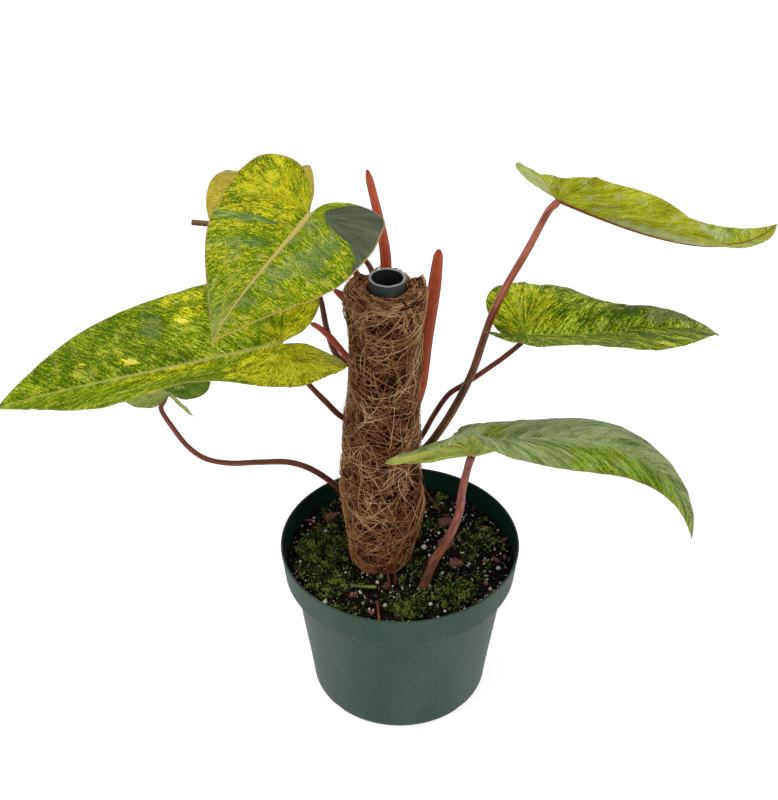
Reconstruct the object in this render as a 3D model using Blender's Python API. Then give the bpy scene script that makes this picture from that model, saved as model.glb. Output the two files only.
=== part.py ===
"""Potted philodendron: a vine on a coir moss pole, in a round nursery pot.

Lengths below are in millimetres and angles in degrees; MM turns them into metres.
The origin is the centre of the pot's underside, +Z up, with the open side of the plant at -Y.
"""
import math

import bmesh
import bpy
from mathutils import Vector

MM = 0.001
GAP = 0.3  # clear space kept between pieces that touch

# Pot: the six inch nursery size.
RIM_RADIUS = 76.2
POT_HEIGHT = 113.0
LIP_HEIGHT = 22.0
LIP_FLARE = 2.2
POT_WALL = 1.4
FLOOR_THICKNESS = 2.0
BODY_TOP_RADIUS = 68.4
BODY_BASE_RADIUS = 58.9
FOOT_HEIGHT = 18.0
FOOT_RADIUS = 53.0
DRAIN_COUNT = 4
DRAIN_WIDTH = 9.0
DRAIN_HEIGHT = 4.0

# Soil.
SOIL_TOP = 98.0
SOIL_BUMP = 1.0

# Pole: half inch conduit with a coir sleeve, leaning a little.
POLE_BASE = Vector((-12.8, 3.4, FLOOR_THICKNESS + 0.6))
POLE_TOP = Vector((-8.0, 0.5, 306.0))
TUBE_RADIUS = 10.67
TUBE_BORE = 9.1
SLEEVE_BASE = 92.0
SLEEVE_TOP = 299.0
SLEEVE_PROFILE = (  # height, outer radius, how far the winding bulges towards +X
    (92, 16, -1), (96, 18, -1.2), (102, 19.3, -1.2), (110, 20.3, -1), (120, 22, -1), (132, 24.4, -0.5),
    (142, 25.4, -0.4), (150, 25.2, -0.8), (163, 24, -1.4), (178, 23.8, -1.5), (190, 23.5, -1.7), (206, 22.3, -1.4),
    (225, 20.6, -1.1), (250, 20.5, -1.2), (266, 21, -0.8), (275, 21.4, -0.5), (284, 23.2, -0.3), (292, 23.8, 0),
    (299, 23.2, 0),
)
SLEEVE_RIM = (  # worn places of the coir's top edge: turn from +X, spread in degrees, rise
    (24, 10, 2.5), (50, 15, -6.5), (121, 10, -4), (270, 60, -1.5),
)
SLEEVE_RIM_DEPTH = 24.0  # how far down the worn edge fades out
SLEEVE_LUMP = 0.8
SLEEVE_CLEARANCE = 1.2  # soil is this far from the sleeve

LEAF_THICKNESS = 0.6
LEAF_ROWS = 16
LEAF_COLUMNS = 4
NOTCH = 0.13  # half width of the gap between the lobes, as a share of the blade's half width
VEIN_SLANT = 0.75  # how far a side vein climbs towards the tip for each unit of width

# Each leaf: base is where its stalk joins it. heading is counter-clockwise from +X.
# Pairs and triples that start with left and right describe the two halves of the blade.
# fold is the angle of a half above flat at the base, then at the tip, then how fast it changes.
# notch, where given, replaces NOTCH.
# wave is a ripple's height and phase at the margin.
LEAVES = {
    "leaf_upper_left": dict(
        base=(-49, -22.5, 358), heading=-127, rise=-35, droop=-26, droop_power=0.3, sway=23, roll=-9, twist=33,
        length=102, width=48, lobe=(19.6, 19.6), fold_left=(9, -18, 0.8), fold_right=(25, -44, 1.0),
        curl=(4, -16), lift=(-53, -14), wave_left=(1.7, 0), wave_right=(-5, 1.6)),
    "leaf_back_left": dict(
        base=(-78.7, 18, 346.8), heading=105, rise=-1, droop=53, droop_power=1.5, sway=-21, roll=-15, twist=38,
        length=83, width=33, lobe=(32, 32), fold_left=(-11, 19, 1), fold_right=(12, -10, 1),
        curl=(-24, -5), lift=(0, -24), wave_left=(0, 0), wave_right=(0, 0)),
    "leaf_long_left": dict(
        base=(-69.6, -8.5, 267), heading=198, rise=-4, droop=22, droop_power=2.0, sway=-31, roll=-9, twist=-33,
        length=172, width=54, lobe=(30.4, 30.4), fold_left=(14, 43, 0.9), fold_right=(27, 37, 0.9),
        curl=(15, -37), lift=(-35, -1), wave_left=(6, 4.5), wave_right=(-1.7, -2.5)),
    "leaf_small_left": dict(
        base=(-141, 10, 220), heading=161, rise=41, droop=51, droop_power=1.5, sway=18, roll=-1, twist=-14,
        length=70, width=37, lobe=(19, 20.5), fold_left=(53, 1, 0.3), fold_right=(22, 8, 1),
        curl=(-17, -14), lift=(-5, 25), wave_left=(0, 0), wave_right=(0, 0)),
    "leaf_upper_right": dict(
        base=(87.6, 20.6, 344.3), heading=9.5, rise=-28, droop=-28, droop_power=2.0, sway=48, roll=19, twist=-32,
        length=190, width=36, lobe=(25, 17.5), fold_left=(-15, 38, 0.7), fold_right=(66, -2, 1.0),
        curl=(-9, 24), lift=(7, 26), wave_left=(2.9, 3.9), wave_right=(7.2, -1.1)),
    "leaf_middle_right": dict(
        base=(73.9, 21, 253.6), heading=-4.6, rise=3, droop=46, droop_power=3.4, sway=43, roll=4, twist=13,
        length=133, width=45.4, lobe=(26, 26), notch=0.05, fold_left=(47, -1, 0.6), fold_right=(41, 21, 0.6),
        curl=(-57, -12), lift=(12, 11), wave_left=(3.6, -0.5), wave_right=(-3.5, 1.9)),
    "leaf_lower_right": dict(
        base=(39.9, -59.4, 225.2), heading=11.4, rise=10, droop=95, droop_power=2.1, sway=-59, roll=-15, twist=-20,
        length=158, width=50, lobe=(15, 46), fold_left=(12, 21.5, 0.2), fold_right=(73, -12, 0.6),
        curl=(-43, -75), lift=(-45, -10), wave_left=(3.3, 2.2), wave_right=(-1.9, -3.0)),
}

# Stems: route points, then the radius at the start and at the end. Every route starts low.
STEM = dict(route=((-24, 36, 90), (-29, 32, 126), (-19, 35, 155), (-3, 35, 180), (1, 34, 215), (-5, 34.5, 250),
                   (-11, 34, 283)), radius=(5.2, 4.0))
STALKS = {
    "stalk_upper_left": dict(route=((-15.8, 31, 289), (-20.2, 20, 305), (-31.6, 5, 325), (-43, -13, 346),
                                    (-48, -20.5, 354.5)), radius=(1.7, 1.2)),
    "stalk_back_left": dict(route=((-5.2, 35, 213), (-24, 34.5, 221), (-38.2, 33, 231), (-44.4, 32, 251),
                                   (-47.9, 31, 274), (-56, 29, 299.5), (-67, 25, 324), (-76.8, 19, 343)),
                            radius=(2.4, 1.2)),
    "stalk_cut": dict(route=((-14.5, 38, 268), (-30, 39, 290), (-62, 40, 312), (-94, 34, 320), (-120, 30, 325)),
                      radius=(2.0, 1.7)),
    "stalk_long_left": dict(route=((-13.6, 35.5, 174), (-22, 33.5, 181), (-35.6, 25, 191), (-46, 15, 210.5),
                                   (-55.8, 5, 231), (-64, -3, 250), (-68.6, -7.5, 263)), radius=(2.2, 1.4)),
    "stalk_small_left": dict(route=((-37.3, 28, 131), (-54.3, 24, 149.5), (-69.8, 22, 158), (-88.5, 19, 160.5),
                                    (-107, 16, 162), (-121.6, 14, 167), (-131.8, 12, 178), (-140.2, 11, 194),
                                    (-145.4, 9.6, 208), (-143, 9.8, 214.5)), radius=(2.1, 1.5)),
    "stalk_upper_right": dict(route=((-11.4, 36.5, 151), (2, 35.5, 154), (14, 30, 161), (25.1, 27, 179.8),
                                     (35.6, 25, 203.2), (43.8, 23, 226.9), (49.4, 22.2, 250), (54, 21.6, 268),
                                     (61.9, 21, 289.4), (72.4, 20, 313), (82, 20, 336), (86.3, 20.5, 341.4)),
                              radius=(3.0, 2.2)),
    "stalk_middle_right": dict(route=((-3.6, 38.5, 161), (5, 38.5, 159.5), (13.2, 37.3, 166.5), (21.2, 36.4, 184.4),
                                      (29.8, 35, 200.9), (39, 32.6, 210.4), (46.8, 30.4, 218.2), (55, 27.4, 227.4),
                                      (63.1, 24, 237.1), (72, 21, 248.6)), radius=(2.0, 1.7)),
    "stalk_lower_right": dict(route=((13.5, -27, 92), (15.6, -30, 103), (20.7, -34, 124.5), (29.2, -40, 149),
                                     (34.3, -46, 173), (35.4, -52, 195), (38.4, -57.6, 219)), radius=(3.0, 2.2)),
}
# Sheaths: the papery red blades that wrap new growth. widths are half widths at the foot, middle and tip.
SHEATHS = {
    "sheath_top": dict(route=((-9, 34, 286), (-8.8, 33, 296), (-10, 32.4, 310), (-13.6, 32, 330), (-19.3, 32, 357)),
                       widths=(3.2, 3.1, 2.0), thickness=1.1),
    "sheath_right": dict(route=((9.5, 33.5, 192), (13, 31, 212), (15.3, 27, 245.5), (16.7, 25, 261), (19.2, 22, 284),
                                (20.6, 21, 300), (21.6, 20, 313)), widths=(2.6, 4.1, 2.4), thickness=1.2),
    "sheath_left": dict(route=((-29.5, 28, 230), (-33.1, 27, 235.4), (-37.6, 23, 245), (-42.7, 20, 254),
                               (-47.8, 18, 260.6), (-53, 16, 266)), widths=(1.9, 2.1, 1.7), thickness=0.9),
    "sheath_stub": dict(route=((-29.5, 26, 273), (-34, 24, 279), (-39, 22, 285)), widths=(2.0, 2.5, 1.2),
                        thickness=0.8),
}
SHEATH_ROUNDING = 0.08  # share of a sheath's length taken by its rounded tip

# Small growth on and around the pole.
SPRIGS = {
    "aerial_root_left": dict(route=((-7, -28, 99.6), (-8, -26.4, 108), (-10, -27.6, 120)), radius=(0.9, 0.5)),
    "aerial_root_right": dict(route=((-3, -27, 99.6), (-3.6, -25.6, 110), (-5, -27, 124)), radius=(0.7, 0.5)),
    "dry_stem": dict(route=((27, 44, 99.8), (21, 46, 109), (14, 49, 120)), radius=(0.7, 0.6)),
    "stem_bud": dict(route=((-37, 27.2, 136), (-37, 26.6, 141), (-36, 26.4, 146)), radius=(2.0, 1.2)),
    "green_curl": dict(route=((-31, -30, 100.4), (-23, -32, 101.4), (-15, -31.5, 100.6)), radius=(1.2, 1.0)),
    "dry_sliver": dict(route=((-14.5, -44, 100.2), (-13.5, -54, 100.6), (-13, -64, 100.1)), radius=(1.0, 0.6)),
}
# Moss mats: centre on the soil, radii along X and Y, and height.
MOSS = {
    "moss_left": (-50, 4, 16, 20, 3.0),
    "moss_front_left": (-45, -29, 11, 9, 2.4),
    "moss_front": (5, -50, 12, 10, 2.6),
    "moss_front_right": (33, -36, 15, 11, 2.6),
    "moss_right": (53, 12, 11, 8, 2.2),
}
# Bark chips: centre on the soil, length, width, thickness and turn.
BARK = {
    "bark_back": (30, 32, 15, 8, 2.6, 20),
    "bark_right": (30, 10, 14, 10, 2.4, 70),
    "bark_near_stalk": (36, -8, 13, 8, 2.2, -25),
    "bark_left": (-46, 38, 12, 7, 2.2, 35),
    "bark_inner": (21, -6, 9, 7, 2.0, 10),
}

COLOURS = {  # base colour, roughness
    "pot": ((0.055, 0.125, 0.095), 0.45),
    "soil": ((0.012, 0.009, 0.007), 0.95),
    "tube": ((0.075, 0.085, 0.095), 0.5),
    "coir": ((0.21, 0.11, 0.05), 0.95),
    "leaf": ((0.14, 0.22, 0.025), 0.4),
    "stem": ((0.11, 0.08, 0.03), 0.55),
    "stalk": ((0.16, 0.045, 0.03), 0.5),
    "sheath": ((0.42, 0.075, 0.055), 0.5),
    "moss": ((0.03, 0.06, 0.008), 0.95),
    "bark": ((0.055, 0.028, 0.02), 0.9),
}


def clear_scene():
    for thing in list(bpy.data.objects):
        bpy.data.objects.remove(thing)


def make_material(name, finish):
    colour, roughness = COLOURS[finish]
    material = bpy.data.materials.new(name)
    material.use_nodes = True
    shader = material.node_tree.nodes["Principled BSDF"]
    shader.inputs["Base Color"].default_value = (*colour, 1)
    shader.inputs["Roughness"].default_value = roughness
    return material


def add_object(name, points, faces, finish, smooth_angle=40):
    """One closed body from points in millimetres, with its faces turned outwards."""
    mesh = bpy.data.meshes.new(name)
    mesh.from_pydata([Vector(point) * MM for point in points], [], faces)
    solid = bmesh.new()
    solid.from_mesh(mesh)
    bmesh.ops.recalc_face_normals(solid, faces=solid.faces)
    solid.to_mesh(mesh)
    solid.free()
    mesh.shade_smooth()
    mesh.set_sharp_from_angle(angle=math.radians(smooth_angle))
    mesh.materials.append(make_material(name, finish))
    thing = bpy.data.objects.new(name, mesh)
    bpy.context.collection.objects.link(thing)
    return thing


def ring_faces(ring_count, around, closed):
    """Quads between successive rings; closed also joins the last ring to the first."""
    faces = []
    for ring in range(ring_count if closed else ring_count - 1):
        start = ring * around
        following = (ring + 1) % ring_count * around
        for step in range(around):
            turn = (step + 1) % around
            faces.append((start + step, start + turn, following + turn, following + step))
    return faces


def turned_points(profile, around, axis=None):
    """Rings for a list of (radius, height); axis gives the centre at a height."""
    points = []
    for radius, height in profile:
        centre = axis(height) if axis else Vector((0, 0, height))
        for step in range(around):
            angle = math.tau * step / around
            points.append((centre.x + radius * math.cos(angle), centre.y + radius * math.sin(angle), height))
    return points


def smooth_path(points, steps):
    """A smooth curve through every point, with steps pieces between neighbours."""
    points = [Vector(point) for point in points]
    before = points[0] * 2 - points[1]
    after = points[-1] * 2 - points[-2]
    ends = [before, *points, after]
    path = []
    for index in range(len(points) - 1):
        a, b, c, d = ends[index:index + 4]
        for step in range(steps):
            u = step / steps
            path.append(0.5 * (2 * b + (c - a) * u + (2 * a - 5 * b + 4 * c - d) * u ** 2
                               + (3 * b - a - 3 * c + d) * u ** 3))
    path.append(points[-1])
    return path


def mix(start, end, amount):
    return start + (end - start) * amount


def swept(name, path, radii, finish, sides=8):
    """A capped tube along a path; radii gives the half width and half thickness at 0 to 1."""
    points = []
    across = None
    for index, centre in enumerate(path):
        along = (path[min(index + 1, len(path) - 1)] - path[max(index - 1, 0)]).normalized()
        if across is None:
            across = along.orthogonal().normalized() if abs(along.x) > 0.9 else along.cross(Vector((0, 1, 0)))
        across = (across - along * across.dot(along)).normalized()
        third = along.cross(across)
        half_width, half_depth = radii(index / (len(path) - 1))
        for side in range(sides):
            angle = math.tau * side / sides
            points.append(centre + across * half_width * math.cos(angle) + third * half_depth * math.sin(angle))
    faces = ring_faces(len(path), sides, closed=False)
    faces.append(tuple(range(sides)))
    faces.append(tuple(range(len(points) - sides, len(points))))
    return add_object(name, points, faces, finish, smooth_angle=60)


def cut(thing, cutter):
    cutter.hide_render = True
    cutter.display_type = "WIRE"
    slot = thing.modifiers.new("cut " + cutter.name, "BOOLEAN")
    slot.operation = "DIFFERENCE"
    slot.object = cutter


def pole_axis(height):
    amount = (height - POLE_BASE.z) / (POLE_TOP.z - POLE_BASE.z)
    return POLE_BASE.lerp(POLE_TOP, amount)


def soil_height(x, y):
    return SOIL_TOP + SOIL_BUMP * (math.sin(x / 9) * math.cos(y / 11) + 0.5 * math.sin((x + y) / 5)) / 1.5


def pot_outside():
    """Outer radius and height, from the floor up to the rim."""
    shoulder = POT_HEIGHT - LIP_HEIGHT
    return ((FOOT_RADIUS, 0), (FOOT_RADIUS + 3, 1.4), (FOOT_RADIUS + 4.4, 4), (BODY_BASE_RADIUS, FOOT_HEIGHT),
            (BODY_TOP_RADIUS, shoulder - 0.4), (RIM_RADIUS - LIP_FLARE - 0.6, shoulder),
            (RIM_RADIUS - LIP_FLARE, shoulder + 0.8), (RIM_RADIUS, POT_HEIGHT - 1.2),
            (RIM_RADIUS - 0.4, POT_HEIGHT - 0.3))


def pot_inside():
    """Inner radius and height, from the rim down to the floor."""
    shoulder = POT_HEIGHT - LIP_HEIGHT
    return ((RIM_RADIUS - POT_WALL, POT_HEIGHT - 0.4), (RIM_RADIUS - LIP_FLARE - POT_WALL, shoulder + 2.2),
            (BODY_TOP_RADIUS - POT_WALL + 0.4, shoulder + 1.2), (BODY_TOP_RADIUS - POT_WALL, shoulder - 1),
            (BODY_BASE_RADIUS - POT_WALL, FOOT_HEIGHT), (FOOT_RADIUS + 2, FLOOR_THICKNESS + 2),
            (FOOT_RADIUS - 1, FLOOR_THICKNESS))


def build_pot(around=48):
    rim_top = ((RIM_RADIUS - POT_WALL / 2, POT_HEIGHT),)
    profile = pot_outside() + rim_top + pot_inside()
    points = turned_points(profile, around)
    faces = ring_faces(len(profile), around, closed=False)
    for centre_height, first in ((0, 0), (FLOOR_THICKNESS, (len(profile) - 1) * around)):
        centre = len(points)
        points.append((0, 0, centre_height))
        faces += [(first + step, first + (step + 1) % around, centre) for step in range(around)]
    pot = add_object("pot", points, faces, "pot", smooth_angle=35)
    for index in range(DRAIN_COUNT):
        angle = math.tau * (index + 0.5) / DRAIN_COUNT
        outward = Vector((math.cos(angle), math.sin(angle), 0))
        sideways = Vector((-outward.y, outward.x, 0)) * DRAIN_WIDTH / 2
        corners = []
        for radius, height in ((FOOT_RADIUS - 5, -1), (FOOT_RADIUS + 9, -1), (FOOT_RADIUS + 9, DRAIN_HEIGHT),
                               (FOOT_RADIUS - 5, DRAIN_HEIGHT)):
            corners += [outward * radius + sideways + Vector((0, 0, height)),
                        outward * radius - sideways + Vector((0, 0, height))]
        box = [(0, 2, 4, 6), (1, 7, 5, 3), (0, 1, 3, 2), (2, 3, 5, 4), (4, 5, 7, 6), (6, 7, 1, 0)]
        cut(pot, add_object(f"drain_cutter_{index + 1}", corners, box, "pot"))


def build_soil(around=48, rings=6):
    hole = SLEEVE_PROFILE[2][1] + SLEEVE_CLEARANCE + abs(SLEEVE_PROFILE[2][2])
    pocket = SLEEVE_BASE - 0.5
    tube_hole = TUBE_RADIUS + GAP
    outer = [(radius - GAP, height) for radius, height in reversed(pot_inside())]
    outer[0] = (outer[0][0], outer[0][1] + GAP)
    wall_top = outer[-1][0] - (outer[-1][0] - outer[-2][0]) * (POT_HEIGHT - SOIL_TOP) / LIP_HEIGHT
    loops = turned_points([(tube_hole, pocket), (tube_hole, outer[0][1])], around, pole_axis)
    loops += turned_points(outer[:-1] + [(wall_top, SOIL_TOP)], around)
    for ring in range(1, rings + 1):
        amount = ring / rings
        for step in range(around):
            angle = math.tau * step / around
            near = pole_axis(SOIL_TOP) + Vector((hole * math.cos(angle), hole * math.sin(angle), 0))
            far = Vector((wall_top * math.cos(angle), wall_top * math.sin(angle), 0))
            x = mix(far.x, near.x, amount)
            y = mix(far.y, near.y, amount)
            loops.append((x, y, soil_height(x, y)))
    loops += turned_points([(hole, pocket)], around, pole_axis)
    soil = add_object("potting_soil", loops, ring_faces(len(loops) // around, around, closed=True), "soil")
    for name, stem in (("stem_cutter", STEM), ("stalk_cutter", STALKS["stalk_lower_right"])):
        path = smooth_path(stem["route"], 3)[:4]
        path[0] = path[0] - (path[1] - path[0]).normalized() * GAP
        radius = stem["radius"][0] + 1.5 * GAP
        cut(soil, swept(name, path, lambda amount: (radius, radius), "soil"))


def rim_rise(angle):
    """How far the coir's top edge is above or below its usual height at an angle from +X."""
    rise = 0
    for turn, spread, amount in SLEEVE_RIM:
        rise += amount * math.exp(-((math.degrees(angle) - turn) / spread) ** 2)
    return rise


def sleeve_ring(height, radius, bulge, around):
    """One turn of the coir's outside, with the lumps of its winding."""
    centre = pole_axis(height)
    fade = min(1, (height - SLEEVE_BASE) / 25)
    worn = max(0, 1 - (SLEEVE_TOP - height) / SLEEVE_RIM_DEPTH) ** 1.5
    points = []
    for step in range(around):
        angle = math.tau * step / around
        lump = math.sin(3 * angle + height / 17) + 0.7 * math.sin(5 * angle - height / 11)
        reach = radius + SLEEVE_LUMP * fade * lump
        points.append((centre.x + bulge + reach * math.cos(angle), centre.y + reach * math.sin(angle),
                       height + rim_rise(angle) * worn))
    return points


def build_pole(around=36):
    length = (POLE_TOP - POLE_BASE).length
    up = (POLE_TOP - POLE_BASE).normalized()
    across = up.cross(Vector((0, 1, 0))).normalized()
    third = up.cross(across)
    points = []
    for radius, rise in ((TUBE_RADIUS, 0), (TUBE_RADIUS, length), (TUBE_BORE, length), (TUBE_BORE, 0)):
        for step in range(around):
            angle = math.tau * step / around
            offset = across * math.cos(angle) + third * math.sin(angle)
            points.append(POLE_BASE + up * rise + offset * radius)
    add_object("pole_tube", points, ring_faces(4, around, closed=True), "tube")

    points = []
    for height, radius, bulge in SLEEVE_PROFILE:
        points += sleeve_ring(height, radius, bulge, around)
    points += turned_points([(TUBE_RADIUS + GAP, SLEEVE_TOP - 0.5), (TUBE_RADIUS + GAP, SLEEVE_BASE)], around,
                            pole_axis)
    add_object("coir_sleeve", points, ring_faces(len(points) // around, around, closed=True), "coir")


def blade_outline(leaf, side):
    """The flat half outline as (across, along), from the notch round to the tip."""
    width = leaf["width"]
    length = leaf["length"]
    lobe = leaf["lobe"][side]
    notch = leaf.get("notch", NOTCH)
    shape = ((0, 0), (notch * width, -0.62 * lobe), (0.46 * width, -lobe), (0.86 * width, -0.62 * lobe),
             (width, 0.06 * length), (0.90 * width, 0.33 * length), (0.60 * width, 0.62 * length),
             (0.21 * width, 0.87 * length), (0, length))
    path = smooth_path([(*point, 0) for point in shape], LEAF_ROWS // (len(shape) - 1))
    return [(max(point.x, 0), point.y) for point in path]


def rib_direction(leaf, side, reach):
    """Direction and roll of the midrib; reach is 1 at the tip and -1 at the back of the lobe."""
    ahead = max(reach, 0)
    behind = max(-reach, 0)
    heading = math.radians(leaf["heading"] + leaf["sway"] * ahead ** 1.5)
    pitch = math.radians(leaf["rise"] - leaf["droop"] * ahead ** leaf["droop_power"] - leaf["lift"][side] * behind)
    roll = math.radians(leaf["roll"] + leaf["twist"] * ahead ** 1.5)
    along = Vector((math.cos(heading) * math.cos(pitch), math.sin(heading) * math.cos(pitch), math.sin(pitch)))
    return along, Vector((-math.sin(heading), math.cos(heading), 0)), roll


def rib_place(leaf, side, distance):
    """Point, leftward direction and upward direction at a distance along the midrib."""
    span = leaf["length"] if distance >= 0 else leaf["lobe"][side]
    steps = 24
    place = Vector(leaf["base"])
    for step in range(steps):
        along, _, _ = rib_direction(leaf, side, distance / span * (step + 0.5) / steps)
        place += along * distance / steps
    along, level, roll = rib_direction(leaf, side, distance / span)
    above = along.cross(level)
    return place, level * math.cos(roll) + above * math.sin(roll), above * math.cos(roll) - level * math.sin(roll)


def blade_point(leaf, side, across, along):
    """The blade's middle surface at a point of the flat outline."""
    base_fold, tip_fold, power = leaf["fold_left"] if side == 0 else leaf["fold_right"]
    ripple, phase = leaf["wave_left"] if side == 0 else leaf["wave_right"]
    place, left, above = rib_place(leaf, side, along)
    reach = max(along / leaf["length"], 1e-6)
    fold = math.radians(mix(base_fold, tip_fold, reach ** power))
    curl = math.radians(leaf["curl"][side]) + 1e-6
    width = leaf["width"]
    slope = fold + curl * across / width
    out = width / curl * (math.sin(slope) - math.sin(fold))
    up = width / curl * (math.cos(fold) - math.cos(slope))
    wave = ripple * (across / width) ** 2 * math.sin(math.tau * 1.6 * along / leaf["length"] + phase)
    out -= wave * math.sin(slope)
    up += wave * math.cos(slope)
    return place + left * (out if side == 0 else -out) + above * up


def build_leaf(name):
    leaf = LEAVES[name]
    roots = [max(0, along - VEIN_SLANT * across) for across, along in blade_outline(leaf, 0)]
    points = []
    index_of = {}

    def index_at(side, row, column):
        edge_across, edge_along = blade_outline(leaf, side)[row]
        amount = column / LEAF_COLUMNS
        across = edge_across * amount
        along = mix(roots[row], edge_along, amount ** 1.3)
        key = (side if across > 1e-6 else 0, round(across, 4), round(along, 4))
        if key not in index_of:
            index_of[key] = len(points)
            points.append(blade_point(leaf, side, across, along))
        return index_of[key]

    faces = []
    for side in (0, 1):
        for row in range(LEAF_ROWS):
            for column in range(LEAF_COLUMNS):
                corners = [index_at(side, row, column), index_at(side, row + 1, column),
                           index_at(side, row + 1, column + 1), index_at(side, row, column + 1)]
                if side == 0:
                    corners.reverse()
                corners = list(dict.fromkeys(corners))
                if len(corners) > 2:
                    faces.append(corners)
    thing = add_object(name, points, faces, "leaf", smooth_angle=60)
    shell = thing.modifiers.new("thickness", "SOLIDIFY")
    shell.thickness = LEAF_THICKNESS * MM
    shell.offset = 0


def build_stems():
    def even(radius):
        return lambda amount: (mix(radius[0], radius[1], amount),) * 2

    def blade(sheath):
        foot, middle, tip = sheath["widths"]
        swell = 2 * middle - (foot + tip) / 2

        def radii(amount):
            width = mix(mix(foot, swell, amount), mix(swell, tip, amount), amount)
            rounding = math.sqrt(min(1, (1.04 - amount) / SHEATH_ROUNDING))
            return width * rounding, sheath["thickness"] * rounding

        return radii

    swept("vine_stem", smooth_path(STEM["route"], 3), even(STEM["radius"]), "stem", sides=10)
    for name, stalk in STALKS.items():
        swept(name, smooth_path(stalk["route"], 3), even(stalk["radius"]), "stalk")
    for name, sheath in SHEATHS.items():
        swept(name, smooth_path(sheath["route"], 4), blade(sheath), "sheath")
    for name, sprig in SPRIGS.items():
        swept(name, smooth_path(sprig["route"], 3), even(sprig["radius"]), "stalk", sides=6)


def build_moss(around=14):
    for name, (centre_x, centre_y, reach_x, reach_y, height) in MOSS.items():
        points = []
        for radius, lift in ((0.5, 0), (1, 0), (0.95, 0.45), (0.7, 0.8), (0.35, 1)):
            for step in range(around):
                angle = math.tau * step / around
                edge = radius * (1 + 0.12 * math.sin(3 * angle + centre_x))
                x = centre_x + reach_x * edge * math.cos(angle)
                y = centre_y + reach_y * edge * math.sin(angle)
                points.append((x, y, soil_height(x, y) + 3 * GAP + height * lift))
        faces = ring_faces(5, around, closed=False)
        faces += [tuple(range(around)), tuple(range(4 * around, 5 * around))]
        add_object(name, points, faces, "moss")


def build_bark():
    for name, (x, y, length, width, thickness, turn) in BARK.items():
        outline = ((-0.5, -0.3), (-0.2, -0.5), (0.4, -0.42), (0.5, 0.1), (0.25, 0.5), (-0.4, 0.36))
        points = []
        for level, shrink in ((0, 1), (0.6, 1), (1, 0.8)):
            for u, v in outline:
                along = u * length * shrink
                over = v * width * shrink
                angle = math.radians(turn)
                points.append((x + along * math.cos(angle) - over * math.sin(angle),
                               y + along * math.sin(angle) + over * math.cos(angle),
                               SOIL_TOP + SOIL_BUMP + 2 * GAP + thickness * level))
        faces = ring_faces(3, len(outline), closed=False)
        faces += [tuple(range(len(outline))), tuple(range(2 * len(outline), 3 * len(outline)))]
        add_object(name, points, faces, "bark")


clear_scene()
build_pot()
build_soil()
build_pole()
build_stems()
for leaf_name in LEAVES:
    build_leaf(leaf_name)
build_moss()
build_bark()
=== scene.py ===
import math

import bmesh
import bpy
import numpy as np
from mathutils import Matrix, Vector


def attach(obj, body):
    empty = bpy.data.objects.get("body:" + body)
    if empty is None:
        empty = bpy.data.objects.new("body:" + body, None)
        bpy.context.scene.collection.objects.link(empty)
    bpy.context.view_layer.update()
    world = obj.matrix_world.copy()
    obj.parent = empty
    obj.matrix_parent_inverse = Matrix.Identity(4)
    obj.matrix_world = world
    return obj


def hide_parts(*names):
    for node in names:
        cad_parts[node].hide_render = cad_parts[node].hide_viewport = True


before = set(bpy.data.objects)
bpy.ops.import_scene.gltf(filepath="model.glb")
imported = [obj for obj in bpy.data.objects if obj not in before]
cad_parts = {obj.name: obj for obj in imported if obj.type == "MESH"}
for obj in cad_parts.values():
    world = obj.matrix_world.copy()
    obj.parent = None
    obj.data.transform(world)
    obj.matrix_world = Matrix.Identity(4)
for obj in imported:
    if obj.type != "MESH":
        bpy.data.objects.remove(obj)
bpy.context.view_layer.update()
print("frame loaded:", len(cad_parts), "nodes")

mm = 0.001  # every length below is in millimetres unless it says otherwise


def curveAt(points, turns):
    # smooth curve through all points; turn 0 is the first point, 1 the second and so on
    points = np.array(points, float)
    ends = np.vstack([2 * points[0] - points[1], points, 2 * points[-1] - points[-2]])
    turns = np.clip(np.asarray(turns, float), 0, len(points) - 1)
    start = np.minimum(turns.astype(int), len(points) - 2)
    u = (turns - start)[..., None]
    a, b, c, d = (ends[start + step] for step in range(4))
    square, cube = 2 * a - 5 * b + 4 * c - d, 3 * b - a - 3 * c + d
    return 0.5 * (2 * b + (c - a) * u + square * u ** 2 + cube * u ** 3)


def smoothPath(points, steps):
    return curveAt(points, np.linspace(0, len(points) - 1, (len(points) - 1) * steps + 1))


def unit(vectors):
    return vectors / np.maximum(np.linalg.norm(vectors, axis=-1, keepdims=True), 1e-9)


def between(pair, share):
    return pair[0] + (pair[1] - pair[0]) * share


def fullTurn(count):
    return np.linspace(0, math.tau, count, endpoint=False)


def ahead(angle, rise=0.0):
    # directions at angles round the upright axis
    return np.stack([np.cos(angle), np.sin(angle), rise + 0 * angle], -1)


def aside(angle):
    # the same directions turned a quarter to the left
    return np.stack([-np.sin(angle), np.cos(angle), 0 * angle], -1)


def pieceName(node):
    return node.replace("_", "-")


def onFloor(spots):
    # flat (x, y) spots as points of height 0
    return np.column_stack([spots, 0 * spots[:, 0]])


def ease(low, high, value):
    amount = np.clip((value - low) / (high - low), 0, 1)
    return amount * amount * (3 - 2 * amount)


def wobble(points, size, seed):
    # smooth noise, mostly between -1 and 1, made of a few crossed waves; for arrays of points
    rng = np.random.default_rng(seed)
    total = 0
    for layer in range(5):
        direction = unit(rng.normal(size=3)) * math.tau / size * rng.uniform(0.6, 1.7)
        bend = unit(rng.normal(size=3)) * math.tau / size
        warp = 1.5 * np.sin(points @ bend + layer)
        total = total + np.sin(points @ direction + warp + rng.uniform(0, 6))
    return total / 3


def reshaped(mesh, change):
    # runs change on a bmesh of the mesh and writes the result back
    solid = bmesh.new()
    solid.from_mesh(mesh)
    change(solid)
    solid.to_mesh(mesh)
    solid.free()


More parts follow.
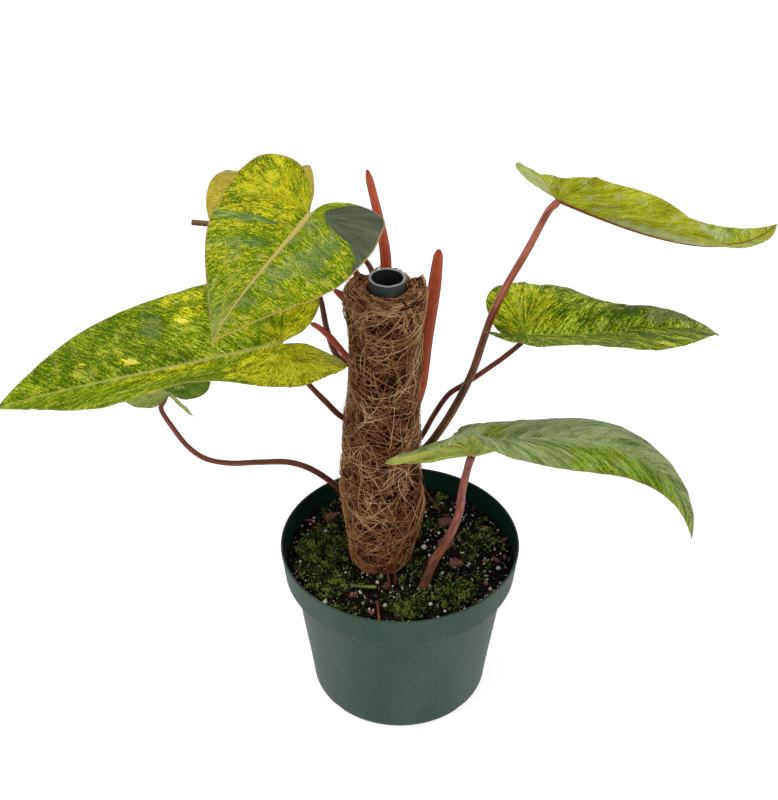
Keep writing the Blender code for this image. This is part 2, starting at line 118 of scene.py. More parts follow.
class Shape:
    # gathers grids of points into one mesh, with a map and named marks on the points
    tileShare = 0.94  # how much of its tile a grid fills on the map
    weldDistance = 0.003

    def __init__(self):
        self.points, self.faces, self.places, self.marks, self.count = [], [], [], {}, 0

    def addGrids(self, grids, wrap=False, flip=False, tiles=None, places=None, **marks):
        # grids is (how many, rows, columns, 3)
        many, rows, columns = grids.shape[:3]
        index = np.arange(many * rows * columns).reshape(many, rows, columns) + self.count
        if places is None:
            if tiles is None:
                side = math.ceil(math.sqrt(many))
                cell = np.arange(many)
                corners = np.stack([cell % side, cell // side], -1) / side
                tiles = corners, np.full((many, 2), self.tileShare / side)
            across = np.linspace(0, 1, columns + 1 if wrap else columns)
            u, v = np.meshgrid(across, np.linspace(0, 1, rows))
            places = tiles[0][:, None, None] + np.stack([u, v], -1)[None] * tiles[1][:, None, None]
        if wrap:
            index = np.concatenate([index, index[..., :1]], -1)
        around = [(0, 0), (0, 1), (1, 1), (1, 0)]
        if flip:
            around.reverse()
        ends = (-1, None)
        cut = [(slice(row, ends[row]), slice(column, ends[column])) for row, column in around]
        self.faces.append(np.stack([index[:, r, c] for r, c in cut], -1).reshape(-1, 4))
        self.places.append(np.stack([places[:, r, c] for r, c in cut], 3).reshape(-1, 2))
        self.points.append(grids.reshape(-1, 3))
        for name, values in marks.items():
            filled = np.broadcast_to(np.asarray(values, float), (many, rows, columns)).ravel()
            self.marks.setdefault(name, []).append(filled)
        self.count += many * rows * columns
        return self

    def addGrid(self, grid, places=None, **more):
        # one grid, over the whole map unless places says where its points go
        if places is not None:
            places = places[None]
        return self.addGrids(grid[None], tiles=(np.zeros((1, 2)), np.ones((1, 2))), places=places, **more)

    def build(self, name, look, slot, stands=(), weld=True, sharp=None):
        points, faces = np.concatenate(self.points) * mm, np.concatenate(self.faces)
        mesh = bpy.data.meshes.new(name)
        mesh.vertices.add(len(points))
        mesh.vertices.foreach_set("co", points.ravel())
        mesh.loops.add(faces.size)
        mesh.loops.foreach_set("vertex_index", faces.ravel())
        mesh.polygons.add(len(faces))
        mesh.polygons.foreach_set("loop_start", np.arange(0, faces.size, 4))
        mesh.update(calc_edges=True)
        mesh.uv_layers.new(name="pieceMap").data.foreach_set("uv", np.concatenate(self.places).ravel())
        for mark, values in self.marks.items():
            mesh.attributes.new(mark, "FLOAT", "POINT").data.foreach_set("value", np.concatenate(values))
        if weld:
            reshaped(mesh, lambda solid: bmesh.ops.remove_doubles(
                solid, verts=solid.verts, dist=self.weldDistance * mm))
        mesh.shade_smooth()
        if sharp:
            mesh.set_sharp_from_angle(angle=math.radians(sharp))
        mesh.materials.append(look.material)
        piece = bpy.data.objects.new(name, mesh)
        bpy.context.scene.collection.objects.link(piece)
        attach(piece, "root")
        if stands:
            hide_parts(*stands)
        return piece


def turned(profile, around, centre=None):
    # rings for a list of (radius, height)
    radius, height = np.array(profile, float).T
    angle = fullTurn(around)
    grid = np.stack([radius[:, None] * np.cos(angle), radius[:, None] * np.sin(angle),
                     np.repeat(height[:, None], around, 1)], -1)
    return grid if centre is None else grid + centre(height)[:, None]


def sweepFrame(path):
    # two directions across the path that turn with it
    along = unit(np.gradient(path, axis=0))
    first = along[0]
    across = np.cross(first, (0, 1, 0) if abs(first[0]) <= 0.9 else (0, 0, 1))
    sides = []
    for direction in along:
        across = unit(across - direction * (across @ direction))
        sides.append(across)
    sides = np.array(sides)
    return sides, np.cross(along, sides)


def tube(path, radii, sides, flatten=1.0):
    # rings round a path; flatten squeezes them one way
    across, third = sweepFrame(path)
    angle = fullTurn(sides)[:, None]
    ring = across[:, None] * np.cos(angle) + third[:, None] * np.sin(angle) * flatten
    return path[:, None] + ring * radii[:, None, None]


capRings = 4  # rings in a rounded end


def capped(path, radii, ends):
    # adds rounded ends to a path and its radii; ends is how long they are in radii
    along = unit(np.gradient(path, axis=0))
    turn = np.linspace(0, 1, capRings + 1)[:-1] * math.pi / 2
    after = turn + math.pi / 2 / capRings
    head = path[0] - along[0] * (radii[0] * ends[0] * np.cos(turn))[:, None]
    foot = path[-1] + along[-1] * (radii[-1] * ends[1] * np.sin(after))[:, None]
    sizes = [radii[0] * np.sin(turn), radii, radii[-1] * np.cos(after)]
    return np.vstack([head, path, foot]), np.concatenate(sizes)


def strands(centres, normals, radii, sides=3):
    # many thin tubes at once: centres (many, steps, 3), radii (many, steps)
    along = unit(np.gradient(centres, axis=1))
    normals = unit(normals - along * (normals * along).sum(-1, keepdims=True))
    third = np.cross(along, normals)
    angle = fullTurn(sides)[:, None]
    ring = normals[:, :, None] * np.sin(angle) + third[:, :, None] * np.cos(angle)
    return centres[:, :, None] + ring * radii[:, :, None, None]


def buildStrands(name, look, slot, paths, normals, radii, sides=3, **marks):
    # one piece made of many thin tubes
    shape = Shape().addGrids(strands(paths, normals, radii, sides), wrap=True, **marks)
    return shape.build(name, look, slot, weld=False)


def lumps(centres, sizes, rng, rows=5, around=6, rough=0.25):
    # many closed irregular grains: centres (many, 3), sizes (many, 3)
    many = len(centres)
    tilt = np.linspace(0.0, math.pi, rows)[None, :, None]
    angle = fullTurn(around)[None, None] + rng.uniform(0, 1, (many, 1, 1))
    ball = np.stack([np.sin(tilt) * np.cos(angle), np.sin(tilt) * np.sin(angle),
                     np.cos(tilt) + 0 * angle], -1)
    stretch = 1 + rough * rng.normal(size=(many, rows, around))
    stretch[:, 0] = stretch[:, :1, 0]
    stretch[:, -1] = stretch[:, -1:, 0]
    ball = ball * stretch[..., None] * sizes[:, None, None]
    spin = np.linalg.qr(rng.normal(size=(many, 3, 3)))[0]
    spin *= np.sign(np.linalg.det(spin))[:, None, None]
    return np.einsum("nrcj,nij->nrci", ball, spin) + centres[:, None, None]


class Val:
    # one shader value; expressions on it add Math nodes
    def __init__(self, look, socket):
        self.look, self.socket = look, socket

    def __add__(self, other):
        return self.look.maths("ADD", self, other)

    def __radd__(self, other):
        return self.look.maths("ADD", other, self)

    def __sub__(self, other):
        return self.look.maths("SUBTRACT", self, other)

    def __rsub__(self, other):
        return self.look.maths("SUBTRACT", other, self)

    def __mul__(self, other):
        return self.look.maths("MULTIPLY", self, other)

    def __rmul__(self, other):
        return self.look.maths("MULTIPLY", other, self)


class Look:
    # a material, with its Principled shader's own constants set from the start
    def __init__(self, name, **settings):
        self.material = bpy.data.materials.new(name)
        self.material.use_nodes = True
        self.tree = self.material.node_tree
        self.shader = self.tree.nodes["Principled BSDF"]
        for socket, value in settings.items():
            self.shader.inputs[socket.replace("_", " ")].default_value = value

    def node(self, kind, settings=None, inputs=None, out=0):
        made = self.tree.nodes.new("ShaderNode" + kind)
        for name, value in (settings or {}).items():
            if name == "stops":
                while len(made.color_ramp.elements) < len(value):
                    made.color_ramp.elements.new(0.5)
                for element, (place, colour) in zip(made.color_ramp.elements, value):
                    element.position, element.color = place, (*colour, 1)
            else:
                setattr(made, name, value)
        for name, value in (inputs or {}).items():
            self.feed(made.inputs[name], value)
        return Val(self, made.outputs[out])

    def feed(self, socket, value):
        if isinstance(value, Val):
            self.tree.links.new(value.socket, socket)
        elif isinstance(value, tuple) and len(socket.default_value) == 4:
            socket.default_value = (*value, 1)
        else:
            socket.default_value = value

    def maths(self, operation, a, b=0.0):
        return self.node("Math", {"operation": operation}, {0: a, 1: b})

    def mark(self, name):
        return self.node("Attribute", {"attribute_name": name}, out="Fac")

    def place(self):
        return self.node("TexCoord", out="Object")

    def parts(self, vector):
        made = self.node("SeparateXYZ", inputs={0: vector}).socket.node
        return [Val(self, socket) for socket in made.outputs]

    def distance(self, vector, spot):
        return self.node("VectorMath", {"operation": "DISTANCE"}, {0: vector, 1: spot}, out="Value")

    def join(self, x=0.0, y=0.0, z=0.0):
        return self.node("CombineXYZ", inputs={0: x, 1: y, 2: z})

    def scaled(self, vector, by):
        return self.node("VectorMath", {"operation": "MULTIPLY"}, {0: vector, 1: by})

    def noise(self, vector, scale, detail=3.0, roughness=0.55, distortion=0.0):
        return self.node("TexNoise", inputs={"Vector": vector, "Scale": scale, "Detail": detail,
                                             "Roughness": roughness, "Distortion": distortion})

    def cells(self, vector, scale):
        return self.node("TexVoronoi", inputs={"Vector": vector, "Scale": scale}, out="Distance")

    def band(self, value, low, high):
        # 0 below low, 1 above high; works falling too
        return self.node("MapRange", {"interpolation_type": "SMOOTHSTEP"},
                         {"Value": value, "From Min": low, "From Max": high})

    def blend(self, amount, a, b, kind="MIX"):
        return self.node("Mix", {"data_type": "RGBA", "blend_type": kind}, {0: amount, 6: a, 7: b}, out=2)

    def tint(self, a, b, amount=1.0):
        return self.blend(amount, a, b, "MULTIPLY")

    def ramp(self, value, stops):
        return self.node("ValToRGB", {"stops": stops}, {0: value})

    def finish(self, colour, roughness=None, height=None, strength=0.5, distance=1.0):
        self.feed(self.shader.inputs["Base Color"], colour)
        if roughness is not None:
            self.feed(self.shader.inputs["Roughness"], roughness)
        if height is not None:
            bump = self.node("Bump", inputs={"Strength": strength, "Distance": distance * mm,
                                             "Height": height})
            self.feed(self.shader.inputs["Normal"], bump)
        return self


potPlan = dict(rimRadius=76.2, height=113.0, lipHeight=22.0, lipFlare=2.2, wall=1.4, floor=2.0, bodyTop=68.4,
               bodyBase=58.9, footHeight=18.0, footRadius=53.0, cornerRadius=1.1,
               around=192, drainCount=4, drainWidth=9.0, drainHeight=4.0, drainReach=(48.0, 62.0))
# inside is painted shade: the pot's inner wall, much darker than the same green plastic outside
potColours = dict(body=(0.016, 0.045, 0.026), dull=(0.032, 0.062, 0.043), inside=(0.0015, 0.020, 0.011),
                  dust=(0.16, 0.15, 0.12), mark=(0.45, 0.47, 0.45), pit=(0.01, 0.016, 0.012))


def rounded(corners, radius, steps=4):
    # replaces each inner corner of a profile by a small arc
    corners = np.array(corners, float)
    profile = [corners[0]]
    for before, here, after in zip(corners, corners[1:], corners[2:]):
        lead = min(radius, np.linalg.norm(before - here) * 0.45)
        tail = min(radius, np.linalg.norm(after - here) * 0.45)
        a, b = here + unit(before - here) * lead, here + unit(after - here) * tail
        for t in np.linspace(0, 1, steps):
            profile.append((1 - t) ** 2 * a + 2 * t * (1 - t) * here + t * t * b)
    profile.append(corners[-1])
    return np.array(profile)


def potProfile():
    # (radius, height) from the middle of the underside, up the outside, over the rim and down the inside
    p = potPlan
    height, wall, floor = p["height"], p["wall"], p["floor"]
    shoulder = height - p["lipHeight"]
    foot, body, rim = p["footRadius"], p["bodyBase"], p["rimRadius"]
    lipFoot, bodyTop = rim - p["lipFlare"], p["bodyTop"]
    outside = [(0.5, 1.2), (foot - 9, 1.2), (foot - 7, 0), (foot, 0), (foot + 3, 1.4), (foot + 4.4, 4),
               (body, p["footHeight"]), (bodyTop, shoulder - 0.4), (lipFoot - 0.6, shoulder),
               (lipFoot, shoulder + 0.8), (rim - 0.25, height - 2.6), (rim, height - 1.2)]
    top = [(rim - 0.2, height - 0.1), (rim - wall + 0.1, height - 0.1)]
    inside = [(rim - wall, height - 1.4), (lipFoot - wall, shoulder + 2.2),
              (bodyTop - wall + 0.4, shoulder + 1.2), (bodyTop - wall, shoulder - 1),
              (body - wall, p["footHeight"]), (foot + 2, floor + 2), (foot - 1, floor), (0.5, floor)]
    return rounded(outside + top + inside, p["cornerRadius"])


def cutAway(piece, cutter):
    # carves the cutter out of the piece for good
    modifier = piece.modifiers.new("carve", "BOOLEAN")
    modifier.operation, modifier.object = "DIFFERENCE", cutter
    bpy.context.view_layer.update()
    carved = bpy.data.meshes.new_from_object(piece.evaluated_get(bpy.context.evaluated_depsgraph_get()))
    piece.modifiers.clear()
    piece.data = carved
    bpy.data.objects.remove(cutter)


def potLook():
    # places and bands are in metres here, as the shader sees them
    colours, look = potColours, Look("green pot plastic", Specular_IOR_Level=0.28)
    where = look.place()
    x, y, z = look.parts(where)
    radius = look.maths("SQRT", x * x + y * y)
    shell = look.band(radius - (0.0562 + z * 0.133), 0.0015, 0.0035)
    cloud = look.noise(look.scaled(where, (1, 1, 0.35)), 30, 4)
    colour = look.blend(look.band(cloud, 0.35, 0.7), colours["body"], colours["dull"])
    mottle = look.noise(where, 330, 4, 0.7) * 0.6 + look.noise(where, 1300, 3, 0.7) * 0.4
    colour = look.tint(colour, look.ramp(mottle, [(0.40, (0.80, 0.82, 0.82)), (0.60, (1.18, 1.17, 1.17))]))
    # painted shade: the inner wall above the soil takes the dark inside colour
    innerWallShade = look.band(radius - z * 0.1, 0.0645, 0.0641) * look.band(z, 0.084, 0.088)
    colour = look.blend(innerWallShade * look.band(z, 0.1128, 0.1118), colour, colours["inside"])
    scuffed = 1 - look.band(look.distance(where, (0.0185, -0.0605, 0.0255)), 0.003, 0.0065)
    scuffs = scuffed * look.band(look.cells(where, 900), 0.22, 0.12)
    colour = look.blend(scuffs, colour, colours["mark"])
    pit = 1 - look.band(look.distance(where, (0.0372, -0.0646, 0.0985)), 0.0004, 0.0009)
    colour = look.blend(pit, colour, colours["pit"])
    dust = look.band(look.noise(where, 160, 5, 0.7), 0.62, 0.8) * 0.35
    colour = look.blend(dust * look.band(z, 0.03, 0.0), colour, colours["dust"])
    turningRings = look.noise(look.join(0, 0, z), 500, 2)
    height = look.noise(where, 900, 2) * 0.25 + turningRings * 0.5 + look.noise(where, 250, 3) * 0.6 - scuffs
    return look.finish(colour, 0.46 + 0.16 * cloud + shell * 0.02, height, 0.18, 0.25)


def buildPot():
    p = potPlan
    look = potLook()
    pot = Shape().addGrid(turned(potProfile(), p["around"]), wrap=True).build(
        "nurseryPot", look, "pot", ["pot"], sharp=50)
    half, top = p["drainWidth"] / 2, p["drainHeight"]
    arch = np.array([(half, -1), (half, top * 0.6), (half * 0.7, top * 0.95), (0, top * 1.05),
                     (-half * 0.7, top * 0.95), (-half, top * 0.6), (-half, -1)])
    for step in range(p["drainCount"]):
        angle = math.tau * (step + 0.5) / p["drainCount"]
        turn = np.array([[math.cos(angle), -math.sin(angle), 0], [math.sin(angle), math.cos(angle), 0],
                         [0, 0, 1]])
        rings = np.array([[(reach, side, rise) for side, rise in arch] for reach in p["drainReach"]]) @ turn.T
        middle = rings.mean(1, keepdims=True).repeat(len(arch), 1)
        grid = np.stack([middle[0], rings[0], rings[1], middle[1]])
        cutter = Shape().addGrid(grid, wrap=True, flip=True).build("drainCutter", look, "pot")
        reshaped(cutter.data, lambda solid: bmesh.ops.recalc_face_normals(solid, faces=solid.faces))
        cutAway(pot, cutter)
    print("pot built")


polePlan = dict(base=(-12.8, 3.4, 2.6), top=(-8, 0.5, 306), radius=10.67, bore=9.1, around=96)
# inside is a darker copy of the clean plastic, painted shade in the bore
conduitColours = dict(clean=(0.026, 0.034, 0.034), dirty=(0.085, 0.085, 0.070), inside=(0.014, 0.020, 0.024),
                      sawn=(0.16, 0.17, 0.17), sawnPale=(0.42, 0.43, 0.42))
sleevePlan = dict(
    base=92, top=299, lump=0.8, wornDepth=24, evenFoot=25, middleRadius=24, around=160, rows=130,
    # height, radius and sideways bulge
    profile=((92, 16, -1), (96, 18, -1.2), (102, 19.3, -1.2), (110, 20.3, -1), (120, 22, -1),
             (132, 24.4, -0.5), (142, 25.4, -0.4), (150, 25.2, -0.8), (163, 24, -1.4), (178, 23.8, -1.5),
             (190, 23.5, -1.7), (206, 22.3, -1.4), (225, 20.6, -1.1), (250, 20.5, -1.2), (266, 21, -0.8),
             (275, 21.4, -0.5), (284, 23.2, -0.3), (292, 23.8, 0), (299, 23.2, 0)),
    # turn, spread and rise of the worn places round the top
    rim=((24, 10, 2.5), (50, 15, -6.5), (121, 10, -4), (270, 60, -1.5)))
# gap is near black: painted shade seen between the fibres
coirColours = dict(dark=(0.018, 0.005, 0.002), brown=(0.285, 0.105, 0.036), tan=(0.56, 0.30, 0.125),
                   straw=(0.92, 0.68, 0.40), gap=(0.006, 0.002, 0.001))
fibrePlan = dict(steps=11, layers=dict(
    # tone differs at random within a layer; the darker ranges of the deeper layers are painted shade beneath
    # the top fibres
    under=dict(count=1300, lift=(-2.2, -0.9), length=(20, 50), radius=(0.22, 0.36), tone=(0.0, 0.35),
               stray=0.2, seed=90),
    middle=dict(count=1500, lift=(-1.0, 0.2), length=(18, 50), radius=(0.14, 0.25), tone=(0.05, 0.85),
                stray=0.5, seed=91),
    over=dict(count=1250, lift=(-0.1, 0.9), length=(16, 48), radius=(0.11, 0.22), tone=(0.35, 1.0),
              stray=1.2, seed=92)), crown=520, looseEnds=520)


def poleAxis(height):
    base, top = np.array(polePlan["base"]), np.array(polePlan["top"])
    amount = (np.asarray(height, float) - base[2]) / (top[2] - base[2])
    return base + (top - base) * amount[..., None]


def rimRise(angle):
    # how far the coir's top edge is above or below its usual height
    turns = np.degrees(angle) % 360
    return sum(rise * np.exp(-((turns - turn) / spread) ** 2) for turn, spread, rise in sleevePlan["rim"])


def sleevePoint(angle, height, lift=0.0):
    # points on the coir's outside, lifted off it by lift, and their outward directions
    heights, radii, bulges = np.array(sleevePlan["profile"], float).T
    held = np.clip(height, heights[0], heights[-1])
    fade = np.clip((held - sleevePlan["base"]) / sleevePlan["evenFoot"], 0, 1)
    lump = np.sin(3 * angle + held / 17) + 0.7 * np.sin(5 * angle - held / 11)
    reach = np.interp(held, heights, radii) + sleevePlan["lump"] * fade * lump + lift
    worn = np.clip(1 - (sleevePlan["top"] - held) / sleevePlan["wornDepth"], 0, 1) ** 1.5
    level = height + rimRise(angle) * worn
    middle = poleAxis(height)
    middle[..., 0] += np.interp(held, heights, bulges)
    outward = ahead(angle)
    return middle * (1, 1, 0) + outward * reach[..., None] + level[..., None] * (0, 0, 1), outward


def buildConduit():
    colours, look = conduitColours, Look("conduit plastic", Specular_IOR_Level=0.22)
    where = look.place()
    scratches = look.noise(look.scaled(where, (1, 1, 0.08)), 2600, 3, 0.7)
    dirt = look.band(look.noise(where, 260, 5, 0.65), 0.45, 0.72)
    colour = look.blend(dirt * 0.6, colours["clean"], colours["dirty"])
    # painted shade: the bore takes the darker inside colour
    colour = look.blend(look.mark("inside"), colour, colours["inside"])
    sawn = look.blend(scratches, colours["sawn"], colours["sawnPale"])
    colour = look.blend(look.mark("sawn"), colour, sawn)
    look.finish(colour, 0.42 + 0.25 * dirt, scratches * 0.6 + dirt * 0.4, 0.25, 0.3)

    base, top = np.array(polePlan["base"]), np.array(polePlan["top"])
    outer, bore, length = polePlan["radius"], polePlan["bore"], float(np.linalg.norm(top - base))
    rings = np.array([  # radius, distance from the foot, sawn, inside
        (outer, 0, 0, 0), (outer, length * 0.5, 0, 0), (outer, length - 12, 0, 0),
        (outer - 0.02, length - 0.5, 0, 0), (outer - 0.12, length - 0.2, 1, 0), (outer - 0.4, length, 1, 0),
        (bore + 0.35, length, 1, 0), (bore + 0.05, length - 0.25, 1, 0.3), (bore, length - 0.7, 0, 1),
        (bore, length * 0.5, 0, 1), (bore, 0, 0, 1), (outer, 0, 0, 0)])
    angle = fullTurn(polePlan["around"])
    up = unit(top - base)
    across = unit(np.cross(up, (0, 1, 0)))
    third = np.cross(up, across)
    chips = 0.12 * np.sin(7 * angle) + 0.08 * np.sin(23 * angle + 1)
    rise = rings[:, 1:2] + rings[:, 2:3] * chips
    outward = across * np.cos(angle)[:, None] + third * np.sin(angle)[:, None]
    grid = base + up * rise[..., None] + outward * rings[:, 0, None, None]
    Shape().addGrid(grid, wrap=True, sawn=rings[None, :, 2:3], inside=rings[None, :, 3:4]).build(
        "conduit", look, "tube", ["pole_tube"], sharp=40)


def fibreLook():
    look = Look("coir fibre", Specular_IOR_Level=0.12)
    tone, height = look.mark("tone"), look.mark("height")
    where = look.place()
    mottled = tone + 0.4 * (look.noise(where, 420, 3) - 0.5) + 0.8 * (look.noise(where, 60, 2) - 0.5)
    colour = look.ramp(mottled, [(0.08, coirColours["dark"]), (0.38, coirColours["brown"]),
                                 (0.72, coirColours["tan"]), (1.0, coirColours["straw"])])
    lower = look.band(height, 175, 100) * look.band(look.noise(where, 60, 2), 0.3, 0.6)
    colour = look.blend(lower * 0.55, colour, look.tint(colour, (1.1, 0.78, 0.52)))
    return look.finish(colour, 0.75, look.noise(where, 3000, 2), 0.3, 0.05)


def buildCore():
    # the felt under the fibres, coloured mostly near black as painted shade between them, with its uneven top
    # edge and the hole for the conduit
    plan = sleevePlan
    look = Look("coir felt", Specular_IOR_Level=0.03, Roughness=0.95)
    where = look.place()
    stretched = look.noise(look.scaled(where, (1, 1, 0.35)), 900, 4, 0.7, 0.6)
    crossed = look.noise(look.scaled(where, (0.5, 0.6, 1.6)), 700, 4, 0.7, 0.8)
    felt = stretched * 0.5 + crossed * 0.5
    # painted shade: the felt runs mostly from the near-black gap colour to dark brown
    colour = look.ramp(felt, [(0.42, coirColours["gap"]), (0.60, coirColours["dark"]),
                              (0.78, coirColours["brown"])])
    look.finish(colour, None, felt, 0.9, 1.2)

    angle, height = np.meshgrid(fullTurn(plan["around"]),
                                np.linspace(plan["base"], plan["top"], plan["rows"]))
    outside, outward = sleevePoint(angle, height, -2.2)
    outside = outside + outward * (0.45 * wobble(outside, 6, 3) + 0.3 * wobble(outside, 2.6, 4))[..., None]
    ragged = 0.8 * np.sin(5 * angle[0]) + 0.9 * wobble(outside[-1], 9, 8)
    outside[-1, :, 2] += ragged - 0.8
    outside[-2, :, 2] += 0.6 * ragged - 0.8
    gap = outward[-1] * (polePlan["radius"] + 0.3)
    rim = []
    for share, drop in ((0.75, 0.3), (0.45, 0.2), (0.15, -0.6)):
        inner = poleAxis(height[-1]) + gap
        level = inner + (outside[-1] - inner) * share
        level[:, 2] = outside[-1, :, 2] * share + (plan["top"] - 0.5) * (1 - share) + drop
        rim.append(level + 0.6 * wobble(level, 4, 5)[:, None] * (0, 0, 1))
    well = [poleAxis(0 * height[-1] + z) + gap for z in (plan["top"] - 5, 200, plan["base"])]
    grid = np.concatenate([outside, np.array(rim), np.array(well), outside[:1]])
    Shape().addGrid(grid, wrap=True).build("coirCore", look, "coir", ["coir_sleeve"])


def buildFibres(layer, plan, look, rng):
    count, base, top = plan["count"], sleevePlan["base"] + 1, sleevePlan["top"]
    reach = sleevePlan["middleRadius"]
    steps = np.linspace(0, 1, fibrePlan["steps"])
    length = rng.uniform(*plan["length"], count)
    first = rng.uniform(0, math.tau, count)
    start = rng.uniform(base - 9, top + 4, count)
    # neighbouring fibres lie nearly the same way, in tangled tufts
    tuft = np.column_stack([reach * np.cos(first), reach * np.sin(first), start])
    slope = 1.8 * wobble(tuft, 22, plan["seed"]) + rng.choice([0, 0, 0, 1.2, -1.2], count)
    slope = slope + rng.normal(0, 0.3, count)
    bearing = slope[:, None] + rng.normal(0, 1.5, count)[:, None] * (steps - 0.5)
    travel = (length / (len(steps) - 1))[:, None]
    angle = first[:, None] + np.cumsum(np.cos(bearing) * travel, 1) / reach
    height = start[:, None] + np.cumsum(np.sin(bearing) * travel, 1)
    height = np.where(height > top, top - 0.5 * (height - top), height)
    height = np.where(height < base, base + 0.3 * (base - height), height)
    lift = rng.uniform(*plan["lift"], count)[:, None] + 0.35 * np.sin(steps * rng.uniform(4, 14, (count, 1)))
    ends = np.abs(steps * 2 - 1) ** 4 * rng.exponential(0.6, (count, 1)) * plan["stray"]
    centres, outward = sleevePoint(angle, height, lift + ends)
    radii = rng.uniform(*plan["radius"], (count, 1)) * (1 - 0.75 * np.abs(steps * 2 - 1) ** 5)
    tone = between(plan["tone"], rng.beta(0.8, 0.9, (count, 1, 1)))
    buildStrands("coirFibres" + layer.capitalize(), look, "coir", centres, outward, radii, tone=tone,
                 height=height[..., None])


def buildCrown(look, rng):
    # fibres lying over the top, from the edge in to the conduit
    count, top = fibrePlan["crown"], float(sleevePlan["top"])
    t = np.linspace(0, 1, 9)[None]
    outer = rng.uniform(0.25, 1.0, (count, 1))
    inner = np.clip(outer - rng.uniform(-0.4, 0.9, (count, 1)), 0.02, 1)
    share = outer + (inner - outer) * t
    angle = rng.uniform(0, math.tau, (count, 1)) + rng.normal(0, 0.8, (count, 1)) * t + 0.15 * np.sin(5 * t)
    edge, outward = sleevePoint(angle, np.full(angle.shape, top), -0.6)
    wall = poleAxis(np.full(angle.shape, top - 0.5)) + outward * (polePlan["radius"] + 0.5)
    centres = wall + (edge - wall) * share[..., None]
    centres[..., 2] += rng.uniform(-0.3, 0.9, (count, 1)) + 0.5 * np.sin(7 * t + outer * 9)
    radii = rng.uniform(0.18, 0.32, (count, 1)) * (1 - 0.6 * np.abs(2 * t - 1) ** 4)
    buildStrands("coirCrown", look, "coir", centres, np.array([0.0, 0, 1]), radii,
                 tone=rng.uniform(0.1, 0.9, (count, 1, 1)), height=centres[..., 2:3])


def buildLooseEnds(look, rng):
    # loose ends round the top edge and along the sides
    count, base, top = fibrePlan["looseEnds"], sleevePlan["base"], sleevePlan["top"]
    atTop = rng.uniform(0, 1, count) < 0.5
    angle = rng.uniform(0, math.tau, count)
    peak = sum(np.exp(-((np.angle(np.exp(1j * (angle - turn))) / 0.2) ** 2)) for turn in (0.42, 2.4))
    start = np.where(atTop, rng.uniform(top - 8, top, count), rng.uniform(base + 4, top - 7, count))
    length = np.where(atTop, rng.uniform(2, 5, count) + 6 * peak * rng.uniform(0.4, 1, count),
                      rng.uniform(2, 6, count))
    root, outward = sleevePoint(angle, start, np.where(atTop, rng.uniform(-5, -0.5, count), -0.3))
    up = np.where(atTop, rng.uniform(0.3, 1.0, count), rng.normal(0, 0.5, count))[:, None]
    out = np.where(atTop, rng.normal(0.0, 0.25, count), rng.uniform(0.05, 0.3, count))[:, None]
    heading = unit(outward * out + aside(angle) * rng.normal(0, 0.8, count)[:, None]
                   + np.array([0, 0, 1.0]) * up)
    curl = unit(rng.normal(size=(count, 3)))
    t = np.linspace(0, 1, 7)[None, :, None]
    length = length[:, None, None]
    centres = root[:, None] + heading[:, None] * t * length + curl[:, None] * t ** 2 * (length * 0.25)
    radii = rng.uniform(0.12, 0.26, (count, 1)) * (1 - 0.7 * t[:, :, 0] ** 2)
    buildStrands("coirLooseEnds", look, "coir", centres, outward[:, None], radii,
                 tone=rng.uniform(0.1, 0.8, (count, 1, 1)), height=centres[..., 2:3])


def buildCoir():
    buildCore()
    look = fibreLook()
    for order, (layer, plan) in enumerate(fibrePlan["layers"].items()):
        buildFibres(layer, plan, look, np.random.default_rng(70 + order))
    buildCrown(look, np.random.default_rng(77))
    buildLooseEnds(look, np.random.default_rng(81))
    print("pole built")


soilPlan = dict(top=98.0, bump=1.0, wall=73.35, pole=(-13, 1.5), poleReach=19, around=260, rings=74,
                granules=5200, perlite=950, strayClumps=330, barkBits=70, rootlets=70)
# rough rows of the soil's underside, as (radius, height)
soilSkirt = [(19, 90), (17, 60), (17, 3)]
soilWall = [(71.6, 93), (66.6, 89), (57.2, 18), (52, 4.4), (20, 2.6)]
# the lightest moss colour is a painted highlight and the darkest one painted shade
soilColours = dict(black=(0.0035, 0.003, 0.002), brown=(0.018, 0.013, 0.008), dry=(0.085, 0.07, 0.05),
                   perlite=(0.80, 0.78, 0.66), stain=(0.22, 0.20, 0.12), oldGrain=(0.16, 0.145, 0.08),
                   poreShade=(0.4, 0.38, 0.32), moss=(0.021, 0.048, 0.004), mossHighlight=(0.27, 0.34, 0.05),
                   mossShade=(0.003, 0.006, 0.001))
mossPlan = {
    "moss_left": dict(spot=(-50, 4), reach=(16, 20), height=3.0, shoots=700),
    "moss_front_left": dict(spot=(-45, -29), reach=(11, 9), height=2.4, shoots=310),
    "moss_front": dict(spot=(5, -50), reach=(12, 10), height=2.6, shoots=270),
    "moss_front_right": dict(spot=(33, -36), reach=(15, 11), height=2.6, shoots=330),
    "moss_right": dict(spot=(53, 12), reach=(11, 8), height=2.2, shoots=170),
}
barkPlan = {
    "bark_back": dict(spot=(30, 32), size=(15, 8, 2.6), turn=20),
    "bark_right": dict(spot=(30, 10), size=(14, 10, 2.4), turn=70),
    "bark_near_stalk": dict(spot=(36, -8), size=(13, 8, 2.2), turn=-25),
    "bark_left": dict(spot=(-46, 38), size=(12, 7, 2.2), turn=35),
    "bark_inner": dict(spot=(21, -6), size=(9, 7, 2.0), turn=10),
}


def soilHeight(x, y):
    wave = np.sin(x / 9) * np.cos(y / 11) + 0.5 * np.sin((x + y) / 5)
    return soilPlan["top"] + soilPlan["bump"] * wave / 1.5


def fromPole(x, y):
    return np.hypot(x - soilPlan["pole"][0], y - soilPlan["pole"][1])


def soilSpots(count, rng, far=72.0, near=21.0):
    # random places on the soil, clear of the pole
    spots = []
    while len(spots) < count:
        x, y = rng.uniform(-far, far, 2)
        if math.hypot(x, y) < far and fromPole(x, y) > near:
            spots.append((x, y))
    return np.array(spots)


